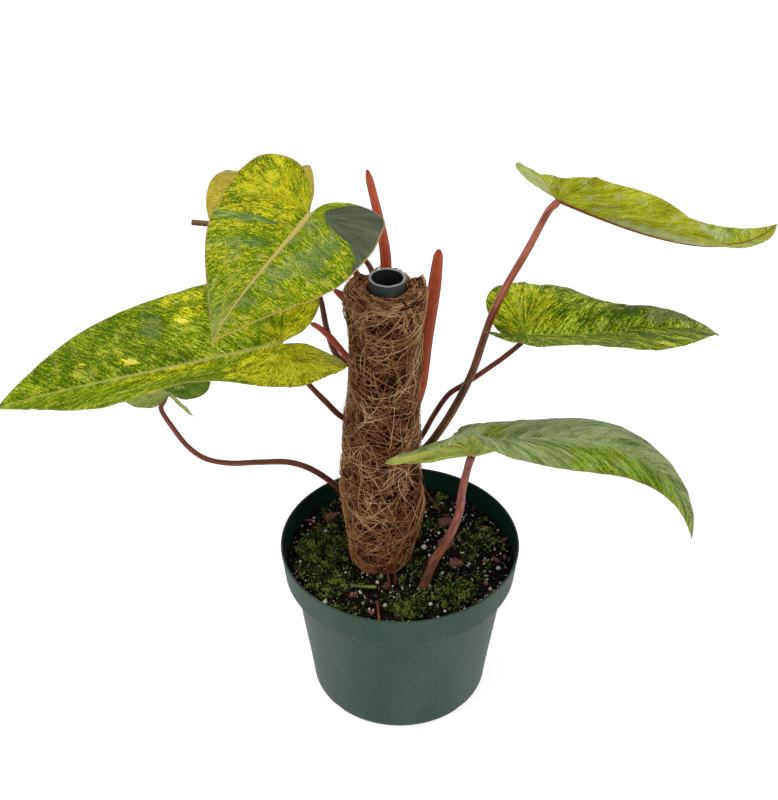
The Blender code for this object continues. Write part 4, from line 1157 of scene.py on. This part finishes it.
# base is where the stalk joins; pairs describe the left and right halves of a blade; a patch is its half,
# place across and along, half width, half length and strength, below 0 for a grey-green one, partly
# painted sheen; sector is the edge of a plain area, greyed by painted sheen
leafPlans = {
    "leaf_upper_left": dict(
        base=(-49, -22.5, 358), heading=-127, rise=-35, droop=-26, droopPower=0.3, sway=23, roll=-9, twist=33,
        length=102, width=48, lobe=(19.6, 19.6), fold=((9, -18, 0.8), (25, -44, 1.0)),
        curl=(4, -16), lift=(-53, -14), wave=((1.7, 0), (-5, 1.6)), rib=1.5, veins=15, slant=0.3,
        sector={0: ((46, 38), (44.5, 31), (44, 26), (41.5, 18), (37, 12), (30, 8), (23, 5.5), (14, 2),
                    (8, -2), (9.5, -7), (14, -12), (19, -17), (22, -28))},
        patches=((1, 27, 0, 26, 24, 0.55), (0, 17, 24, 12, 18, -0.7), (0, 8, 42, 8, 10, -0.6),
                 (0, 3, 66, 5, 9, -0.5), (1, 28, 20, 18, 2.4, -0.7), (1, 24, 33, 16, 2.8, -0.8),
                 (0, 6, 6, 8, 5, -0.6))),
    "leaf_back_left": dict(
        base=(-78.7, 18, 346.8), heading=105, rise=-1, droop=53, droopPower=1.5, sway=-21, roll=-15, twist=38,
        length=83, width=33, lobe=(32, 32), fold=((-11, 19, 1), (12, -10, 1)),
        curl=(-24, -5), lift=(0, -24), wave=((0, 0), (0, 0)), rib=0.9, veins=13),
    "leaf_long_left": dict(
        base=(-69.6, -8.5, 267), heading=198, rise=-4, droop=22, droopPower=2.0, sway=-31, roll=-9, twist=-33,
        length=172, width=54, lobe=(30.4, 30.4), fold=((14, 43, 0.9), (27, 37, 0.9)),
        curl=(15, -37), lift=(-35, -1), wave=((6, 4.5), (-1.7, -2.5)), rib=1.7, veins=21,
        slant=1.25,
        patches=((0, 34, -2, 30, 34, 1.0), (1, 38, 48, 10, 18, 0.4), (1, 20, -18, 18, 14, 0.7),
                 (1, 7, -5, 10, 10, 0.5), (1, 29, 70, 10, 7, -0.75), (1, 8, 85, 1.9, 3.8, 2.4),
                 (1, 27, 52, 1.6, 2.8, 2.6), (1, 12, 112, 0.8, 1.6, 2.2), (0, 16, 8, 1.2, 2.6, 2.0),
                 (0, 8, 60, 9, 40, 0.3))),
    "leaf_small_left": dict(
        base=(-141, 10, 220), heading=161, rise=41, droop=51, droopPower=1.5, sway=18, roll=-1, twist=-14,
        length=70, width=37, lobe=(19, 20.5), fold=((53, 1, 0.3), (22, 8, 1)),
        curl=(-17, -14), lift=(-5, 25), wave=((0, 0), (0, 0)), rib=0.8, veins=12,
        patches=((0, 20, 20, 60, 90, -1.0),)),
    "leaf_upper_right": dict(
        base=(87.6, 20.6, 344.3), heading=9.5, rise=-28, droop=-28, droopPower=2.0, sway=48, roll=19,
        twist=-32, length=190, width=36, lobe=(25, 17.5), fold=((-15, 38, 0.7), (66, -2, 1.0)),
        curl=(-9, 24), lift=(7, 26), wave=((2.9, 3.9), (7.2, -1.1)), rib=1.7, veins=21,
        slant=1.1,
        patches=((1, 6, 78, 8, 46, -0.9), (0, 8, -14, 16, 18, -0.9), (0, 12, 120, 10, 24, -0.5))),
    "leaf_middle_right": dict(
        base=(73.9, 21, 253.6), heading=-4.6, rise=3, droop=46, droopPower=3.4, sway=43, roll=4, twist=13,
        length=133, width=45.4, lobe=(26, 26), notch=0.05, fold=((47, -1, 0.6), (41, 21, 0.6)),
        curl=(-57, -12), lift=(12, 11), wave=((3.6, -0.5), (-3.5, 1.9)), rib=1.0, veins=17,
        slant=1.0,
        patches=((0, 20, -6, 22, 30, 0.5), (0, 12, 96, 8, 20, -0.8))),
    "leaf_lower_right": dict(
        base=(39.9, -59.4, 225.2), heading=11.4, rise=10, droop=95, droopPower=2.1, sway=-59, roll=-15,
        twist=-20, length=158, width=50, lobe=(15, 46), fold=((12, 21.5, 0.2), (73, -12, 0.6)),
        curl=(-43, -75), lift=(-45, -10), wave=((3.3, 2.2), (-1.9, -3.0)), rib=1.0, veins=18,
        slant=1.4,
        patches=((0, 24, 4, 18, 18, 1.3), (1, 36, 66, 13, 13, 1.1), (1, 28, 84, 14, 15, 1.1),
                 (1, 20, 103, 12, 16, 1.0), (1, 13, 122, 10, 16, 0.9), (1, 8, 146, 12, 20, 0.9),
                 (0, 38, -10, 24, 24, 1.2), (0, 14, 60, 14, 50, -0.6), (1, 12, 24, 14, 18, -0.6))),
}
bladePlan = dict(thickness=0.6, rowSpacing=1.25, columns=36, veinSlant=0.75, quilt=0.28, slantedPatch=6,
                 outlineSpans=8, ribSteps=120, uneven=((0.35, 17, 8), (0.12, 6, 5)),  # height, size, start
                 groove=(0.18, 1.7, 0.5), ridgeAbove=0.45, ridgeBelow=0.8, roundedEdge=1.2)


def bladeOutline(leaf, side, turns):
    # the flat half outline as (across, along), from the notch round to the tip
    width, length, lobe = leaf["width"], leaf["length"], leaf["lobe"][side]
    outline = curveAt(((0, 0), (leaf.get("notch", 0.13) * width, -0.62 * lobe), (0.46 * width, -lobe),
                       (0.86 * width, -0.62 * lobe), (width, 0.06 * length), (0.90 * width, 0.33 * length),
                       (0.60 * width, 0.62 * length), (0.21 * width, 0.87 * length), (0, length)), turns)
    outline[:, 0] = np.maximum(outline[:, 0], 0)
    return outline


def ribTurn(leaf, side, reach):
    # reach is 1 at the tip and -1 at the back of the lobe
    forward, back = np.maximum(reach, 0), np.maximum(-reach, 0)
    heading = np.radians(leaf["heading"] + leaf["sway"] * forward ** 1.5)
    droop = leaf["droop"] * forward ** leaf["droopPower"]
    pitch = np.radians(leaf["rise"] - droop - leaf["lift"][side] * back)
    roll = np.radians(leaf["roll"] + leaf["twist"] * forward ** 1.5)
    along = np.stack([np.cos(heading) * np.cos(pitch), np.sin(heading) * np.cos(pitch), np.sin(pitch)], -1)
    return along, aside(heading), roll


def ribFrame(leaf, side, distance):
    # point, leftward direction and upward direction at distances along the midrib
    count = bladePlan["ribSteps"]
    steps = np.linspace(0, 1, count + 1)
    middles = (steps[1:] + steps[:-1]) / 2
    length, lobe = leaf["length"], leaf["lobe"][side]
    forward = np.vstack([np.zeros(3), np.cumsum(ribTurn(leaf, side, middles)[0], 0)]) * length / count
    back = -np.vstack([np.zeros(3), np.cumsum(ribTurn(leaf, side, -middles)[0], 0)]) * lobe / count
    reach = np.where(distance >= 0, distance / length, distance / lobe)
    place = np.stack([np.where(reach >= 0, np.interp(reach, steps, forward[:, axis]),
                               np.interp(-reach, steps, back[:, axis])) for axis in range(3)], -1)
    along, level, roll = ribTurn(leaf, side, reach)
    above = np.cross(along, level)
    cos, sin = np.cos(roll)[..., None], np.sin(roll)[..., None]
    return place + np.array(leaf["base"]), level * cos + above * sin, above * cos - level * sin


def bladePoint(leaf, side, across, along):
    # the blade's middle surface at points of the flat outline
    baseFold, tipFold, power = leaf["fold"][side]
    ripple, phase = leaf["wave"][side]
    place, left, above = ribFrame(leaf, side, along)
    width, length = leaf["width"], leaf["length"]
    reach = np.maximum(along / length, 1e-6)
    fold = np.radians(baseFold + (tipFold - baseFold) * reach ** power)
    curl = math.radians(leaf["curl"][side]) + 1e-6
    slope = fold + curl * across / width
    out = width / curl * (np.sin(slope) - np.sin(fold))
    up = width / curl * (np.cos(fold) - np.cos(slope))
    wave = ripple * (across / width) ** 2 * np.sin(math.tau * 1.6 * along / length + phase)
    out = out - wave * np.sin(slope)
    up = up + wave * np.cos(slope)
    return place + left * (out if side == 0 else -out)[..., None] + above * up[..., None]


def bladeNormal(leaf, side, across, along):
    small = 0.4
    over = bladePoint(leaf, side, across + small, along) - bladePoint(leaf, side, across - small, along)
    onward = bladePoint(leaf, side, across, along + small) - bladePoint(leaf, side, across, along - small)
    return unit(np.cross(onward, over)) * (1 if side == 0 else -1)


def lineDistance(points, line):
    # signed distance from flat points to a bent line; positive on its left
    best, sign = np.full(points.shape[:-1], 1e9), np.ones(points.shape[:-1])
    for start, end in zip(line, line[1:]):
        start, end = np.array(start, float), np.array(end, float)
        step = end - start
        share = np.clip(((points - start) @ step) / (step @ step), 0, 1)
        gap = points - (start + share[..., None] * step)
        distance = np.linalg.norm(gap, axis=-1)
        turn = step[0] * gap[..., 1] - step[1] * gap[..., 0]
        sign = np.where(distance < best, np.sign(turn), sign)
        best = np.minimum(best, distance)
    return best * sign


def leafMarks(leaf, side, across, along, slant):
    # how far inside the plain area, and how strong the patches are, over one half of a blade
    line = leaf.get("sector", {}).get(side)
    sector = lineDistance(np.stack([across, along], -1), line) if line else np.full(along.shape, -20.0)
    patch = 0 * along
    for half, x, y, wide, long, strength in leaf.get("patches", ()):
        if half == side:
            lean = slant if long < bladePlan["slantedPatch"] else 0  # short patches follow the veins
            gap = np.hypot((across - x) / wide, (along - y - (across - x) * lean) / long)
            mark = np.clip(1.4 - gap, 0, 1) * strength
            patch = np.where(np.abs(mark) > np.abs(patch), mark, patch)
    return dict(sector=np.clip(sector, -20, 20), patch=patch)


def leafShape(leaf, seed):
    # two skins and an edge strip for each half; rows run along the veins from the midrib to the edge
    plan, spans = bladePlan, bladePlan["outlineSpans"]
    dense = np.linspace(0, spans, 100 * spans + 1)
    steps = [np.linalg.norm(np.diff(bladeOutline(leaf, side, dense), axis=0), axis=1) for side in (0, 1)]
    arc = np.concatenate([[0], np.cumsum(np.maximum(*steps))])
    rows = int(arc[-1] / plan["rowSpacing"])
    evenly = np.linspace(0, arc[-1], rows + 1)
    turns = np.interp(evenly, arc, dense)
    phase = (evenly / arc[-1] * leaf["veins"])[:, None]
    guide = bladeOutline(leaf, 0, turns)
    slant = leaf.get("slant", plan["veinSlant"])
    roots = np.maximum(0, guide[:, 1] - slant * guide[:, 0])
    roots[-1] = leaf["length"]
    amounts = np.linspace(0, 1, plan["columns"] + 1)[None] ** 1.5
    shape = Shape()
    widest, longest = 2.06 * leaf["width"], leaf["length"] + max(leaf["lobe"])
    for side in (0, 1):
        edge = bladeOutline(leaf, side, turns)
        across = edge[:, :1] * amounts
        along = roots[:, None] + (edge[:, 1] - roots)[:, None] * amounts ** 1.3
        middle = bladePoint(leaf, side, across, along)
        normal = bladeNormal(leaf, side, across, along)
        ribGap = np.hypot(across, np.minimum(along, 0))
        other = bladeNormal(leaf, 1 - side, 0 * across, np.maximum(along, 0))
        normal = unit(normal + other * np.exp(-(ribGap / 1.6) ** 2)[..., None])
        margin = np.minimum.reduce([np.linalg.norm(np.stack([across, along], -1) - spot, axis=-1)
                                    for spot in bladeOutline(leaf, side, np.linspace(0, spans, 30 * spans))])
        margin[:, -1] = 0
        reachOut = np.clip(along / leaf["length"], 0, 1)
        ribHalf = leaf["rib"] * (0.2 + 0.8 * (1 - reachOut) ** 1.1)
        ribRatio = ribGap / ribHalf
        ridge = np.clip(1 - (ribRatio / 1.15) ** 2, 0, 1) ** 1.5
        pitch = np.linalg.norm(np.gradient(middle, axis=0), axis=-1) / (leaf["veins"] / rows)
        nearVein = np.abs((phase + 0.4 * side) % 1 - 0.5) * 2
        puff = (1 - nearVein ** 2.5) * np.clip(pitch / 8, 0, 1) * np.clip(margin / 5, 0, 1) * plan["quilt"]
        puff = puff * np.clip(ribRatio / 4, 0, 1)
        for step, (size, span, start) in enumerate(plan["uneven"]):
            puff = puff + size * wobble(middle, span, seed + step) * np.clip(ribRatio / start, 0, 1)
        depth, beside, spread = plan["groove"]
        groove = depth * np.exp(-((ribRatio - beside) / spread) ** 2) * ribHalf / leaf["rib"]
        half = plan["thickness"] / 2 * np.sqrt(np.clip(margin / plan["roundedEdge"], 0.08, 1))
        top = middle + normal * (half + puff - groove + plan["ridgeAbove"] * ribHalf * ridge)[..., None]
        bottom = middle - normal * (half - puff + plan["ridgeBelow"] * ribHalf * ridge)[..., None]
        marks = dict(vein=phase + 0 * along, reach=np.hypot(across, along - roots[:, None]),
                     ribRatio=np.minimum(ribRatio, 9), margin=margin, half=0.0 * along + side,
                     **leafMarks(leaf, side, across, along, slant))
        marks = {name: values[None] for name, values in marks.items()}
        flat = 0.25 + (across if side == 0 else -across) / widest * 0.48
        place = np.stack([flat, 0.01 + (along + max(leaf["lobe"])) / longest * 0.98], -1)
        shape.addGrid(top, places=place, flip=side == 1, under=0.0, **marks)
        shape.addGrid(bottom, places=place + (0.5, 0), flip=side == 0, under=1.0, **marks)
        # the edge strip lies along the middle of the map
        strip = np.stack([top[:, -1], bottom[:, -1]], 1)
        rise = (0.5 * side + 0.49 * evenly / arc[-1])[:, None]
        place = np.stack(np.broadcast_arrays([0.494, 0.506], rise), -1)
        marks = {name: values[:, :, -1:].repeat(2, 2) for name, values in marks.items()}
        shape.addGrid(strip, places=place, flip=side == 1, under=np.array([[[0.0, 1.0]]]), **marks)
    return shape


# deep, green, yellow and cream run from the darkest streaks to the palest; grey-green and fresh colour the
# patches, the grey-green being partly painted sheen
leafColours = {
    "leaf_upper_left": dict(
        deep=(0.043, 0.094, 0.001), green=(0.104, 0.180, 0.001), yellow=(0.295, 0.340, 0.002),
        cream=(0.66, 0.54, 0.06), greyAndSheen=(0.145, 0.210, 0.072), fresh=(0.350, 0.335, 0.002),
        rib=(0.50, 0.39, 0.13), edge=(0.42, 0.27, 0.10), under=(0.30, 0.31, 0.05),
        share=-0.003, bands=0.3, run=1.0, edgeShow=0.9, ribShow=0.95),
    "leaf_back_left": dict(
        deep=(0.28, 0.215, 0.016), green=(0.39, 0.315, 0.022), yellow=(0.46, 0.38, 0.035),
        cream=(0.56, 0.47, 0.08), greyAndSheen=(0.25, 0.20, 0.03), fresh=(0.46, 0.38, 0.03),
        rib=(0.40, 0.26, 0.10), edge=(0.46, 0.28, 0.10), under=(0.40, 0.33, 0.025),
        share=0.0, bands=0.3, run=1.0, edgeShow=0.8, ribShow=0.8),
    "leaf_long_left": dict(
        deep=(0.050, 0.100, 0.001), green=(0.120, 0.205, 0.001), yellow=(0.305, 0.370, 0.004),
        cream=(0.72, 0.68, 0.14), greyAndSheen=(0.150, 0.205, 0.070), fresh=(0.600, 0.590, 0.006),
        rib=(0.44, 0.40, 0.12), edge=(0.30, 0.27, 0.08), under=(0.30, 0.33, 0.08),
        share=-0.019, bands=0.3, run=1.0, contrast=0.95, edgeShow=0.5, ribShow=0.7),
    "leaf_small_left": dict(
        deep=(0.070, 0.130, 0.012), green=(0.135, 0.230, 0.022), yellow=(0.215, 0.330, 0.04),
        cream=(0.33, 0.44, 0.11), greyAndSheen=(0.660, 0.720, 0.260), fresh=(0.13, 0.20, 0.02),
        rib=(0.26, 0.22, 0.10), edge=(0.22, 0.22, 0.12), under=(0.16, 0.22, 0.07),
        share=-0.02, bands=0.3, run=0.8, edgeShow=0.4, ribShow=0.7, greyAndSheenShow=0.95, rooted=34),
    "leaf_upper_right": dict(
        deep=(0.110, 0.165, 0.010), green=(0.270, 0.330, 0.010), yellow=(0.440, 0.470, 0.02),
        cream=(0.66, 0.66, 0.18), greyAndSheen=(0.430, 0.470, 0.200), fresh=(0.36, 0.40, 0.02),
        rib=(0.20, 0.05, 0.02), edge=(0.34, 0.22, 0.06), under=(0.340, 0.365, 0.006),
        share=0.0, bands=0.6, run=0.8, contrast=0.6, edgeShow=0.5, ribShow=0.95, greyAndSheenShow=0.9, rooted=38),
    "leaf_middle_right": dict(
        deep=(0.030, 0.066, 0.001), green=(0.085, 0.155, 0.001), yellow=(0.300, 0.370, 0.004),
        cream=(0.72, 0.70, 0.14), greyAndSheen=(0.200, 0.250, 0.100), fresh=(0.320, 0.360, 0.003),
        rib=(0.22, 0.28, 0.07), edge=(0.24, 0.25, 0.06), under=(0.30, 0.34, 0.13),
        share=-0.015, bands=0.5, run=0.9, edgeShow=0.4, ribShow=0.4),
    # this leaf's greyish tones, with raised blue, carry painted sheen over its glossy top
    "leaf_lower_right": dict(
        deep=(0.058, 0.110, 0.010), green=(0.176, 0.240, 0.070), yellow=(0.280, 0.335, 0.138),
        cream=(0.42, 0.46, 0.25), greyAndSheen=(0.240, 0.275, 0.150), fresh=(0.135, 0.215, 0.001),
        rib=(0.42, 0.46, 0.17), edge=(0.32, 0.20, 0.09), under=(0.270, 0.300, 0.042),
        share=-0.004, bands=0.8, run=0.45, contrast=0.72, edgeShow=0.6, ribShow=0.85),
}
# the plain area's own dark green, greyed by painted sheen reflecting the white room
plainSheenColours = dict(dark=(0.044, 0.062, 0.032), pale=(0.098, 0.118, 0.074))


def scaledColour(colour, by, plus=0.0):
    return tuple(min(1, channel * by + plus) for channel in colour)


def leafLook(name, tones, seed):
    look = Look(name, Specular_IOR_Level=0.05)
    vein, reach, half = look.mark("vein"), look.mark("reach"), look.mark("half")
    ribRatio, margin, under = look.mark("ribRatio"), look.mark("margin"), look.mark("under")
    sector, patch = look.mark("sector"), look.mark("patch")
    where = look.place()

    # streaks run along the side veins; share moves the mix towards the pale ones
    offset = half * 13 + seed
    wide = look.noise(look.join(vein * 0.55, reach * 0.05, offset), 1.0, 2)
    bands = look.noise(look.join(vein * 2.4, reach * 0.035, offset + 5), 1.0, 2)
    streak = look.noise(look.join(vein * 14, reach * (0.19 * tones["run"]), offset), 1.0, 3, 0.65, 0.5)
    fine = look.noise(look.join(vein * 46, reach * (0.75 * tones["run"]), offset + 3), 1.0, 2, 0.65, 0.5)
    speck = look.noise(where, 950, 3, 0.65, 0.8)
    tone = streak * 0.42 + fine * 0.33 + speck * 0.25 + (wide - 0.5) * 0.17 \
        + (bands - 0.5) * (0.4 * tones["bands"])
    tone = (tone - 0.5) * tones.get("contrast", 1.0) + (0.5 + tones["share"])
    colour = look.ramp(tone, [(0.440, tones["deep"]), (0.485, tones["green"]), (0.540, tones["yellow"]),
                              (0.600, tones["cream"])])

    # warm patches and grey-green patches, partly painted sheen, with edges broken up by stray
    stray = (look.noise(where, 130, 4, 0.6) - 0.5) * 3.0 + (fine - 0.5) * 1.6
    pale = scaledColour(tones["fresh"], 1.5)
    palest = tuple((a + b) / 2 for a, b in zip(pale, tones["cream"]))
    warmTone = look.ramp(tone, [(0.450, scaledColour(tones["fresh"], 0.28)), (0.485, tones["fresh"]),
                                (0.525, pale), (0.580, palest)])
    colour = look.blend(look.band(patch + stray, 0.1, 0.6) * 0.9, colour, warmTone)
    colour = look.blend(look.band(patch, 1.0, 1.5) * 0.9, colour, tones["cream"])
    # painted sheen: listed patches put grey-green where a glossy top shows sheen; stray also scatters it at
    # random
    greyAndSheen = look.band(stray - patch, 0.1, 0.7) * tones.get("greyAndSheenShow", 0.65)
    greyAndSheenTone = look.tint(tones["greyAndSheen"], look.ramp(tone, [(0.42, (0.6, 0.64, 0.5)), (0.50, (1, 1, 1)),
                                                         (0.60, (1.7, 1.6, 1.1))]))
    colour = look.blend(greyAndSheen, colour, greyAndSheenTone)

    # a plain dark area on one leaf, greyed with painted sheen, then the underside
    cover = look.band(sector + (wide - 0.5) * 9 + (streak - 0.5) * 7, -0.4, 0.4)
    plainSheen = look.blend(look.band(fine * 0.4 + bands * 0.6, 0.35, 0.65), plainSheenColours["dark"],
                       plainSheenColours["pale"])
    colour = look.blend(cover, colour, plainSheen)
    beneath = look.ramp(tone, [(0.44, scaledColour(tones["under"], 0.42)), (0.495, tones["under"]),
                               (0.555, scaledColour(tones["under"], 1.55, 0.04))])
    colour = look.blend(under, colour, look.blend(greyAndSheen, beneath, greyAndSheenTone))

    # side veins, midrib and edge
    alternate = vein + 0.4 * half
    nearVein = look.maths("ABSOLUTE", look.maths("FRACT", alternate) - 0.5) * -2 + 1
    veinLine = look.band(nearVein, 0.10, 0.02)
    hair = look.maths("ABSOLUTE", look.maths("FRACT", alternate * 5) - 0.5) * 2
    rooted = look.band(reach, tones.get("rooted", 14), 2)
    colour = look.blend(veinLine * (0.05 + 0.25 * rooted) * (1 - cover * 0.7), colour, tones["rib"])
    ribMask = look.band(ribRatio + (fine - 0.5) * 0.5, 1.35, 0.6)
    ribShade = look.tint(tones["rib"], (0.6, 0.7, 0.5))
    ribTone = look.blend(look.band(fine, 0.35, 0.65) * 0.5, tones["rib"], ribShade)
    colour = look.blend(ribMask * tones["ribShow"], colour, ribTone)
    colour = look.blend(look.band(margin, 1.1, 0.3) * tones["edgeShow"], colour, tones["edge"])
    height = veinLine * (-0.3 - 1.2 * cover) + hair * 0.25 + streak * 0.6 + fine * 0.3
    return look.finish(colour, 0.36 + 0.2 * fine + 0.08 * under, height * (1 - ribMask * 0.7), 0.3, 0.5)


def buildLeaves():
    for order, (node, leaf) in enumerate(leafPlans.items()):
        look = leafLook(node.replace("_", " "), leafColours[node], 3.7 * order)
        leafShape(leaf, 40 + order).build(pieceName(node), look, "leaf", [node])
    print("leaves built")


stagePlan = dict(cameraPlace=(-0.007, -0.70775, 0.7175), cameraTilt=35.01, lens=65.16, sensor=36,
                 world=0.62, floorSize=14.0, floorDrop=0.0004, floorGlow=0.8)
lampPlans = dict(key=dict(place=(-0.9, -0.5, 1.9), size=1.3, power=21.0),
                 fill=dict(place=(1.3, -1.2, 1.2), size=1.4, power=10.0))
lampTarget = (0, 0, 0.2)


def buildStage():
    p = stagePlan
    scene = bpy.context.scene
    scene.view_settings.view_transform = "Standard"
    camera = bpy.data.objects.new("camera", bpy.data.cameras.new("camera"))
    camera.location = p["cameraPlace"]
    camera.rotation_euler = (math.radians(90 - p["cameraTilt"]), 0, 0)
    camera.data.lens, camera.data.sensor_width = p["lens"], p["sensor"]
    camera.data.clip_start, camera.data.clip_end = 0.02, 60
    scene.collection.objects.link(camera)
    scene.camera = camera

    world = bpy.data.worlds.new("white room")
    world.use_nodes = True
    background = world.node_tree.nodes["Background"].inputs
    background["Color"].default_value, background["Strength"].default_value = (1, 1, 1, 1), p["world"]
    scene.world = world
    for name, plan in lampPlans.items():
        data = bpy.data.lights.new(name, "AREA")
        data.shape, data.size, data.energy = "DISK", plan["size"], plan["power"]
        lamp = bpy.data.objects.new(name, data)
        lamp.location = plan["place"]
        lamp.rotation_euler = (Vector(lampTarget) - lamp.location).to_track_quat("-Z", "Y").to_euler()
        scene.collection.objects.link(lamp)

    look = Look("pale floor", Specular_IOR_Level=0.0, Emission_Color=(1, 1, 1, 1),
                Emission_Strength=p["floorGlow"])
    paper = look.noise(look.place(), 40, 4)
    look.finish(look.blend(paper, (0.36, 0.36, 0.36), (0.40, 0.40, 0.40)), 0.9)
    half = p["floorSize"] / 2
    mesh = bpy.data.meshes.new("floor")
    corners = [(-half, -half, 0), (half, -half, 0), (half, half, 0), (-half, half, 0)]
    mesh.from_pydata(corners, [], [(0, 1, 2, 3)])
    mesh.materials.append(look.material)
    floor = bpy.data.objects.new("floor", mesh)
    floor.location.z = -p["floorDrop"]
    scene.collection.objects.link(floor)
    print("stage built")


buildStage()
buildPot()
buildConduit()
buildCoir()
buildSoil()
buildMoss()
buildBark()
buildStems()
buildLeaves()
